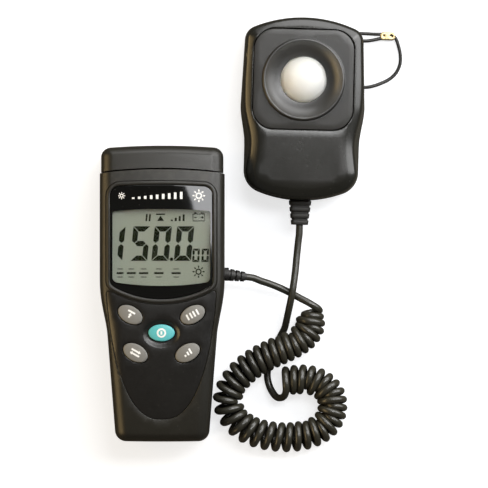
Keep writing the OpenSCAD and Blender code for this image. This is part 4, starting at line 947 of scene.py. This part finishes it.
def lens_back(x, y):
    return face_z(y) - LENS_THICK


def window_border():
    """Black printed border round the view."""
    form = Form()
    made = stepped(form, WINDOW, [(0, 0.16), (-0.05, 0.06), (-0.15, 0), (-0.4, 0)], lens)
    skirt = form.ring(raised(WINDOW, lens_back))
    form.bridge(skirt, made[0])
    hole = form.loft([raised(VIEW, height) for height in (lens, lens_back)])
    form.fill(made[-1], [hole[0]], lens, FACE_NET)
    return form.build("window_border", lens_black, "meter")


def window_pane():
    """Clear pane over the display."""
    form = Form()
    made = form.loft([raised(grown(VIEW, -PANE_GAP), height) for height in (lens, lens_back)])
    form.fill(made[0], [], lens, FACE_NET)
    form.fill(made[1], [], lens_back, FACE_NET)
    return form.build("window_pane", clear_window, "meter")


border = window_border()
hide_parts("window")
pane = window_pane()
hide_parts("window")
window_parts = bpy.data.collections.new("window_parts")
for piece in (border, pane):
    window_parts.objects.link(piece)
window_strip.light_linking.receiver_collection = window_parts


# Key panel and keys

KEYS = {"max_key": (-13.5, -9.2, -29), "hold_key": (13.5, -9.2, 29), "unit_key": (-11.3, -25.7, -29),
        "range_key": (11.3, -25.7, 29), "power_key": (0, -17.1, 0)}
KEY_A, KEY_B, KEY_GAP, KEY_CROWN, KEY_LIFT, POWER_LIFT = 5.75, 3.7, 0.3, 22, 1, 0.45
KEY_PROFILE = [(1, 1.9), (1, 0.75), (0.994, 0.5), (0.98, 0.28), (0.955, 0.11), (0.92, 0.03), (0.87, 0),
               (0.74, 0), (0.58, 0), (0.42, 0), (0.26, 0), (0.12, 0)]
KEY_MOUTH = [(0.3, 0), (0.16, 0.03), (0.05, 0.12), (0, 0.3), (0, 1.6)]
DISH_A, DISH_B, DISH_DEPTH, DISH_CURVE, DISH_SHIFT, DISH_SKIRT = 8.2, 6.3, 0.9, 1.3, 0.4, 0.7
PANEL_RECESS, PANEL_NET = 0.3, 2.2
SIGN_WIDTH, PATCH_LIFT = 0.8, 0.04


def panel_top(x, y):
    return face(x, y) - PANEL_RECESS


def power_dish(x, y):
    """Rings of the dish in the panel, from its mouth to the power key's edge."""
    rings = []
    for s in np.linspace(0, 1, 15):
        a, b = DISH_A + (KEY_A + KEY_GAP - DISH_A) * s, DISH_B + (KEY_B + KEY_GAP - DISH_B) * s
        depth = DISH_DEPTH * math.sin(s * math.pi / 2) ** DISH_CURVE
        rings.append(raised(ellipse(a, b, (x, y - DISH_SHIFT * (1 - s))), panel_top, depth))
    return rings + [[(u, v, w - DISH_SKIRT) for u, v, w in rings[-1]]]


def key_plate():
    form = Form()
    made = stepped(form, PANEL, [(0, 1.6), (0, 0.22), (-0.05, 0.1), (-0.14, 0.02), (-0.3, 0)], panel_top)
    holes = []
    for name, (x, y, slant) in KEYS.items():
        if name == "power_key":
            holes.append(form.loft(power_dish(x, y))[0])
        else:
            mouth = ellipse(KEY_A + KEY_GAP, KEY_B + KEY_GAP, (x, y), slant)
            holes.append(stepped(form, mouth, KEY_MOUTH, panel_top)[0])
    form.fill(made[-1], holes, panel_top, PANEL_NET)
    return form.build("key_plate", panel_plastic, "meter")


def key_top(name, lift=0.0):
    """Height of a key's crowned top over a place."""
    x0, y0, _ = KEYS[name]
    top = panel_top(x0, y0) + (POWER_LIFT if name == "power_key" else KEY_LIFT) - KEY_CROWN
    return lambda x, y: top + math.sqrt(KEY_CROWN ** 2 - (x - x0) ** 2 - (y - y0) ** 2) + lift


def stroke(form, points, width, height):
    """A flat printed line with square ends."""
    points = np.array(points, float)
    way = unit_rows(np.gradient(points, axis=0))
    aside = np.column_stack([-way[:, 1], way[:, 0]]) * width / 2
    form.strip(raised(points - aside, height), raised(points + aside, height))


def line(a, b, steps=6):
    return [tuple(p) for p in np.linspace(a, b, steps)]


def arc(r, start, end, steps=40):
    return [(r * math.cos(t), r * math.sin(t)) for t in np.radians(np.linspace(start, end, steps))]


def patch(form, points, height):
    form.faces.append(tuple(form.ring(raised(points, height))))


def arrow(start, end, size=1.1):
    """A shaft and a head."""
    start, end = np.array(start), np.array(end)
    way = unit(end - start)
    aside = 0.75 * size * np.array([-way[1], way[0]])
    neck = end - size * way
    return line(start, neck), [tuple(end), tuple(neck + aside), tuple(neck - aside)]


up_shaft, up_head = arrow((0, -1.45), (0, 0.85))
right_shaft, right_head = arrow((-2.3, 0.75), (2.3, 0.75))
left_shaft, left_head = arrow((2.3, -0.75), (-2.3, -0.75))
SIGNS = {
    "max_key": ([line((-1.7, 1.35), (1.7, 1.35)), up_shaft], [up_head]),
    "hold_key": ([line((x, -1.3), (x, 1.3)) for x in (-0.75, 0.75, -2.4, 2.4)], []),
    "unit_key": ([right_shaft, left_shaft], [right_head, left_head]),
    "range_key": ([line((x, -1.2), (x, top)) for x, top in ((-1.4, -0.3), (0, 0.5), (1.4, 1.3))], []),
    "power_key": ([arc(1.65, 0, 360, 64), line((0, -0.75), (0, 0.75))], []),
}


def key_cap(name, material):
    x0, y0, slant = KEYS[name]
    height = key_top(name)
    form = Form()
    made = form.loft([raised(ellipse(KEY_A * share, KEY_B * share, (x0, y0), slant), height, drop)
                      for share, drop in KEY_PROFILE])
    form.fan(made[-1], (x0, y0, height(x0, y0)))
    return form.build(name + "_cap", material, name, 60)


def key_sign(name):
    """White pictogram, turned with its key."""
    x0, y0, slant = KEYS[name]
    c, s = math.cos(math.radians(slant)), math.sin(math.radians(slant))

    def placed(points):
        return [(x0 + x * c - y * s, y0 + x * s + y * c) for x, y in points]

    form = Form()
    strokes, patches = SIGNS[name]
    for points in strokes:
        stroke(form, placed(points), SIGN_WIDTH, key_top(name, INK))
    for points in patches:
        patch(form, placed(points), key_top(name, PATCH_LIFT))
    return form.build(name + "_sign", white_ink, name, up=True)


panel = key_plate()
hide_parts("key_panel")
for name in KEYS:
    material, slot = (teal_rubber, "power") if name == "power_key" else (key_rubber, "keys")
    cap = key_cap(name, material)
    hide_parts(name)
    key_sign(name)


# Printed and displayed signs

LCD_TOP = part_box("lcd")[1].z / MM
SEGMENTS = {"1": "bc", "5": "acdfg", "0": "abcdef"}
DIGIT_FOOT, DIGIT_HEIGHT, DIGIT_BAR, DIGIT_SLANT = 14.1, 15, 2.3, 0.1
RANGE_DASHES = ((-19.4, -16.4), (-15, -11.1), (-9.7, -5.7), (-3.2, 0.9), (4.3, 8.3))


def printed(x, y):
    """Height of print on the window."""
    return lens(x, y) + INK


def shown(x, y):
    """Height of what the display shows."""
    return LCD_TOP + INK


def sun(form, centre, size, height, width):
    """A ring with eight rays."""
    def placed(points):
        return [(centre[0] + x * size, centre[1] + y * size) for x, y in points]

    stroke(form, placed(arc(0.42, 0, 360, 32)), width, height)
    for k in range(8):
        a = math.pi * k / 4
        c, s = math.cos(a), math.sin(a)
        stroke(form, placed(line((0.66 * c, 0.66 * s), (c, s), 3)), width, height)


def window_print():
    """A small sun, rising bars and a large sun above the view."""
    form = Form()
    sun(form, (-17.2, 42.3), 1.5, printed, 0.42)
    for k in range(9):
        x = -12.2 + 2.6 * k
        stroke(form, line((x, 40.9), (x, 41.6 + 0.3 * k)), 1.1, printed)
    sun(form, (16.2, 42.3), 2.7, printed, 0.62)
    return form.build("window_print", white_ink, "meter", up=True)


def digit(form, name, x, y, w, h, t, slant):
    """A plain seven-segment digit with its lower left corner at x, y."""
    g = 0.09 * t
    m = h / 2
    top = [(g, h), (w - g, h), (w - t - g, h - t), (t + g, h - t)]
    left = [(0, h - g), (t, h - t - g), (t, m + t / 2 + g), (t / 2, m + g), (0, m + t / 2)]
    shapes = {
        "a": top, "d": [(u, h - v) for u, v in top], "f": left, "e": [(u, h - v) for u, v in left],
        "b": [(w - u, v) for u, v in left], "c": [(w - u, h - v) for u, v in left],
        "g": [(t / 2 + g, m), (t + g, m + t / 2), (w - t - g, m + t / 2), (w - t / 2 - g, m),
              (w - t - g, m - t / 2), (t + g, m - t / 2)],
    }
    for key in SEGMENTS[name]:
        patch(form, [(x + u + slant * v, y + v) for u, v in shapes[key]], shown)


def reading(form):
    """Four large digits with a point, and two small ones."""
    for name, x, width in (("1", -24.6, 7.6), ("5", -13.6, 7.4), ("0", -4.4, 7.4), ("0", 5.3, 7.4)):
        digit(form, name, x, DIGIT_FOOT, width, DIGIT_HEIGHT, DIGIT_BAR, DIGIT_SLANT)
    patch(form, [(4.3 + u, 14.8 + v) for u, v in arc(0.8, 0, 345, 20)], shown)
    for x in (13.2, 17.2):
        digit(form, "0", x, 13.6, 3.1, 5.8, 0.95, 0.05)


def range_row(form):
    """Dashes along the foot of the display, with a sun at their end."""
    for x0, x1 in RANGE_DASHES:
        stroke(form, line((x0, 8.8), (x1, 8.8)), 0.85, shown)
        middle = (x0 + x1) / 2
        for y in (10.6, 7.1):
            stroke(form, line((middle - 1.2, y), (middle + 1.2, y)), 0.35, shown)
    sun(form, (16, 9.4), 2.6, shown, 0.55)


def battery_sign(form):
    stroke(form, [(13.6, 34.4), (18.6, 34.4), (18.6, 31.4), (13.6, 31.4), (13.6, 34.4)], 0.45, shown)
    for x in (14.6, 17.6):
        stroke(form, line((x - 0.5, 34.9), (x + 0.5, 34.9)), 0.5, shown)
        stroke(form, line((x - 0.6, 32.9), (x + 0.6, 32.9)), 0.4, shown)
    stroke(form, line((17.6, 32.3), (17.6, 33.5)), 0.4, shown)


def state_signs(form):
    """Pause, highest value and rising bars at the head of the display."""
    for x in (-6.6, -5.2):
        stroke(form, line((x, 31.3), (x + 0.3, 34.4)), 0.75, shown)
    stroke(form, line((-2.3, 34.3), (1.5, 34.3)), 0.6, shown)
    patch(form, [(-0.4, 33.7), (-1.9, 31.4), (1.1, 31.4)], shown)
    for k in range(4):
        stroke(form, line((4.4 + 1.7 * k, 31.3), (4.5 + 1.7 * k, 32 + 0.75 * k)), 0.9, shown)


window_print()
form = Form()
for signs in (reading, range_row, battery_sign, state_signs):
    signs(form)
form.build("display_signs", display_ink, "meter", up=True)


# Detector

PROBE_HEIGHT, PROBE_BEVEL, PROBE_FALL, PROBE_CURVE = 24, 4.8, 2.3, 1.2
PROBE_FOOT_ARC, PROBE_HEAD_ARC, PROBE_CORNERS = 52, 56, (10, 6.5)
PROBE_PARTING, PROBE_PARTING_DEPTH, LOFTED_EDGE = 0.25, 2, 0.9
PROBE_HEAD_HALF, PROBE_HEAD_TAPER, PROBE_GRIP_HALF, WAIST = 27.2, 0.04, 25.15, (-16, 1)
SCOOP, SCOOP_FROM, SCOOP_MIDDLE, SCOOP_TO = 1.6, -32, -16, 14
PLATE_TOP, PLATE_HALF, PLATE_CORNER, PLATE_NET = 23.4, 21.8, 9, 2.4
DOME_PLACE = (0, 12.6)
PLATE_REACH = PLATE_HALF - PLATE_CORNER
PLATE = resample(round_rectangle(PLATE_REACH, PLATE_REACH, PLATE_CORNER, 24, DOME_PLACE), 400)
PLATE_SEAT = [(0.7, 0), (0.54, 0.03), (0.42, 0.12), (0.36, 0.3), (0.35, 0.6), (0.35, 2.6)]
PLATE_EDGE = [(0, 2), (0, 0.26), (-0.05, 0.13), (-0.14, 0.03), (-0.28, 0)]
RING_RADIUS, BOWL_MOUTH, BOWL_HOLE, BOWL_LEDGE = 18.3, 16.45, 10.25, 8.4
RING_PROFILE = [(RING_RADIUS, PLATE_TOP), (18.1, 23.46), (18, 23.6), (18, 24.5), (17.96, 24.8), (17.84, 25.1),
                (17.6, 25.3), (17.3, 25.4), (17, 25.4), (16.75, 25.3), (16.6, 25.1)]
BOWL_ARC, BOWL_ARC_OUT, BOWL_ARC_UP = 11.5, 8.6, 33.35
DOME_RADIUS, DOME_FOOT, DOME_MIDDLE = 10.1, 17.6, 19
RIBS, BOOT_TUCK, BOOT_TUCK_LACK, BOOT_CORNER = 4, 1.5, 0.2, 1.6
BOOT_HALF, BOOT_NARROWS, BOOT_THICK, BOOT_THINS = 5.0, 1.4, 3.2, 0.4
RIB_PROFILE = ((0, 0.9), (0.03, 0.3), (0.12, 0.1), (0.3, 0), (1.75, 0), (1.93, 0.1), (2.02, 0.3), (2.05, 0.9))


def probe_half(y):
    """Half the detector's width: a wide head above a waist."""
    upper = PROBE_HEAD_HALF - PROBE_HEAD_TAPER * max(0, y - WAIST[1])
    return PROBE_GRIP_HALF + (upper - PROBE_GRIP_HALF) * smooth_step(*WAIST, y)


def scoop(y):
    """How far the face is hollowed at the sides, where the thumb lies."""
    return SCOOP * smooth_step(SCOOP_FROM, SCOOP_MIDDLE, y) * (1 - smooth_step(SCOOP_MIDDLE, SCOOP_TO, y))


def probe_ring(inset, lean, z):
    plan = both_halves(half_outline(
        lambda y: probe_half(y) - lean * scoop(y), (-PROBE_END, PROBE_END), (PROBE_FOOT_ARC, PROBE_HEAD_ARC),
        PROBE_CORNERS, inset))
    return [(x, y, z) for x, y in plan]


def probe_drop(inset):
    return bevel_drop(inset, PROBE_BEVEL, PROBE_FALL, PROBE_CURVE)


def probe_face(x, y):
    """Height of the detector's face with its rounded edge."""
    from_side = probe_half(y) - scoop(y) - abs(x)
    from_head = PROBE_HEAD_ARC - math.hypot(x, y + PROBE_HEAD_ARC - PROBE_END)
    return PROBE_HEIGHT - probe_drop(max(0, min(from_side, from_head) - DRAFT))


def plate_top(x, y):
    return PLATE_TOP


def detector_housing():
    """Upper half of the detector, open at its plate."""
    form = Form()
    rings = [probe_ring(PROBE_PARTING_DEPTH, 0, PROBE_SEAM), probe_ring(PROBE_PARTING, 0, PROBE_SEAM),
             probe_ring(0, 0, PROBE_SEAM + PROBE_PARTING)]
    inner = []
    for inset in np.concatenate([LIP_STEPS, np.linspace(LIP, PROBE_BEVEL, 8)[1:]]):
        ring = probe_ring(DRAFT + inset, 1, PROBE_HEIGHT - probe_drop(inset))
        if inset < LOFTED_EDGE:
            rings.append(ring)
        else:
            inner += ring
    edge = form.loft(rings)[-1]
    hole = stepped(form, PLATE, PLATE_SEAT, probe_face)[0]
    form.fill(edge, [hole], probe_face, FACE_NET, inner)
    form.set_down()
    return form.build("detector_housing", probe_plastic, "probe")


def detector_face():
    """Square plate round the bowl."""
    form = Form()
    made = stepped(form, PLATE, PLATE_EDGE, plate_top)
    mouth = form.ring(raised(ellipse(RING_RADIUS, RING_RADIUS, DOME_PLACE, count=128), plate_top))
    form.fill(made[-1], [mouth], plate_top, PLATE_NET)
    form.set_down()
    return form.build("detector_face", bezel_plastic, "probe")


def detector_bowl():
    """Raised ring and the bowl that the dome stands in."""
    form = Form()
    wall = [(r, BOWL_ARC_UP - math.sqrt(BOWL_ARC ** 2 - (r - BOWL_ARC_OUT) ** 2))
            for r in np.linspace(BOWL_MOUTH, BOWL_HOLE, 26)]
    lathe(form, RING_PROFILE + wall + [(BOWL_HOLE, DOME_FOOT), (BOWL_LEDGE, DOME_FOOT)], DOME_PLACE)
    form.set_down()
    return form.build("detector_bowl", bowl_plastic, "probe")


def opal_dome():
    form = Form()
    profile = [(DOME_RADIUS, DOME_FOOT)]
    for a in np.linspace(0, math.pi / 2, 40)[:-1]:
        profile.append((DOME_RADIUS * math.cos(a), DOME_MIDDLE + DOME_RADIUS * math.sin(a)))
    made = lathe(form, profile, DOME_PLACE)
    form.fan(made[0], (*DOME_PLACE, DOME_FOOT))
    form.fan(made[-1], (*DOME_PLACE, DOME_MIDDLE + DOME_RADIUS))
    form.set_down()
    return form.build("opal_dome", opal, "probe")


def boot_ring(along, lack):
    """Flat rounded section of the boot; lack is what a groove takes off."""
    half = BOOT_HALF - BOOT_NARROWS * along / BOOT_LENGTH - 0.5 * lack
    thick = BOOT_THICK - BOOT_THINS * along / BOOT_LENGTH - lack
    section = round_rectangle(half - BOOT_CORNER, thick - BOOT_CORNER, BOOT_CORNER, 8, (0, PROBE_SEAM))
    return [(x, -PROBE_END - along, z) for x, z in section]


def detector_boot():
    """Strain relief with ribs all round."""
    form = Form()
    rings = [boot_ring(-BOOT_TUCK, BOOT_TUCK_LACK)]
    for k in range(RIBS):
        rings += [boot_ring(k * BOOT_LENGTH / RIBS + along, lack) for along, lack in RIB_PROFILE]
    made = form.loft(rings)
    for end in (0, -1):
        form.fan(made[end], (0, rings[end][0][1], PROBE_SEAM))
    form.set_down()
    return form.build("detector_boot", soft_black, "probe")


probe_front = detector_housing()
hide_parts("probe_front_shell")
bezel = detector_face()
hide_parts("detector_bezel")
bowl = detector_bowl()
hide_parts("detector_bezel")
dome = opal_dome()
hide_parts("diffuser_dome")
boot = detector_boot()
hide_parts("probe_sleeve")


# Pieces shown as the solids have them

FINISHES = {
    "rear_shell": case_back, "battery_door": case_back, "probe_rear_shell": probe_back,
    "window_gasket": inner_black, "keypad_mat": soft_black, "lcd": display, "lcd_frame": inner_black,
    "lcd_connectors": pink_rubber, "main_board": board, "board_chips": inner_black, "board_screws": steel,
    "battery": battery_print, "battery_snap": soft_black, "case_screws": steel, "meter_sleeve": soft_black,
    "colour_filter": green_glass, "filter_holder": inner_black, "photodiode": steel, "detector_board": board,
    "probe_screws": steel}
for name, material in FINISHES.items():
    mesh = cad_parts[name].data
    mesh.materials.clear()
    mesh.materials.append(material)
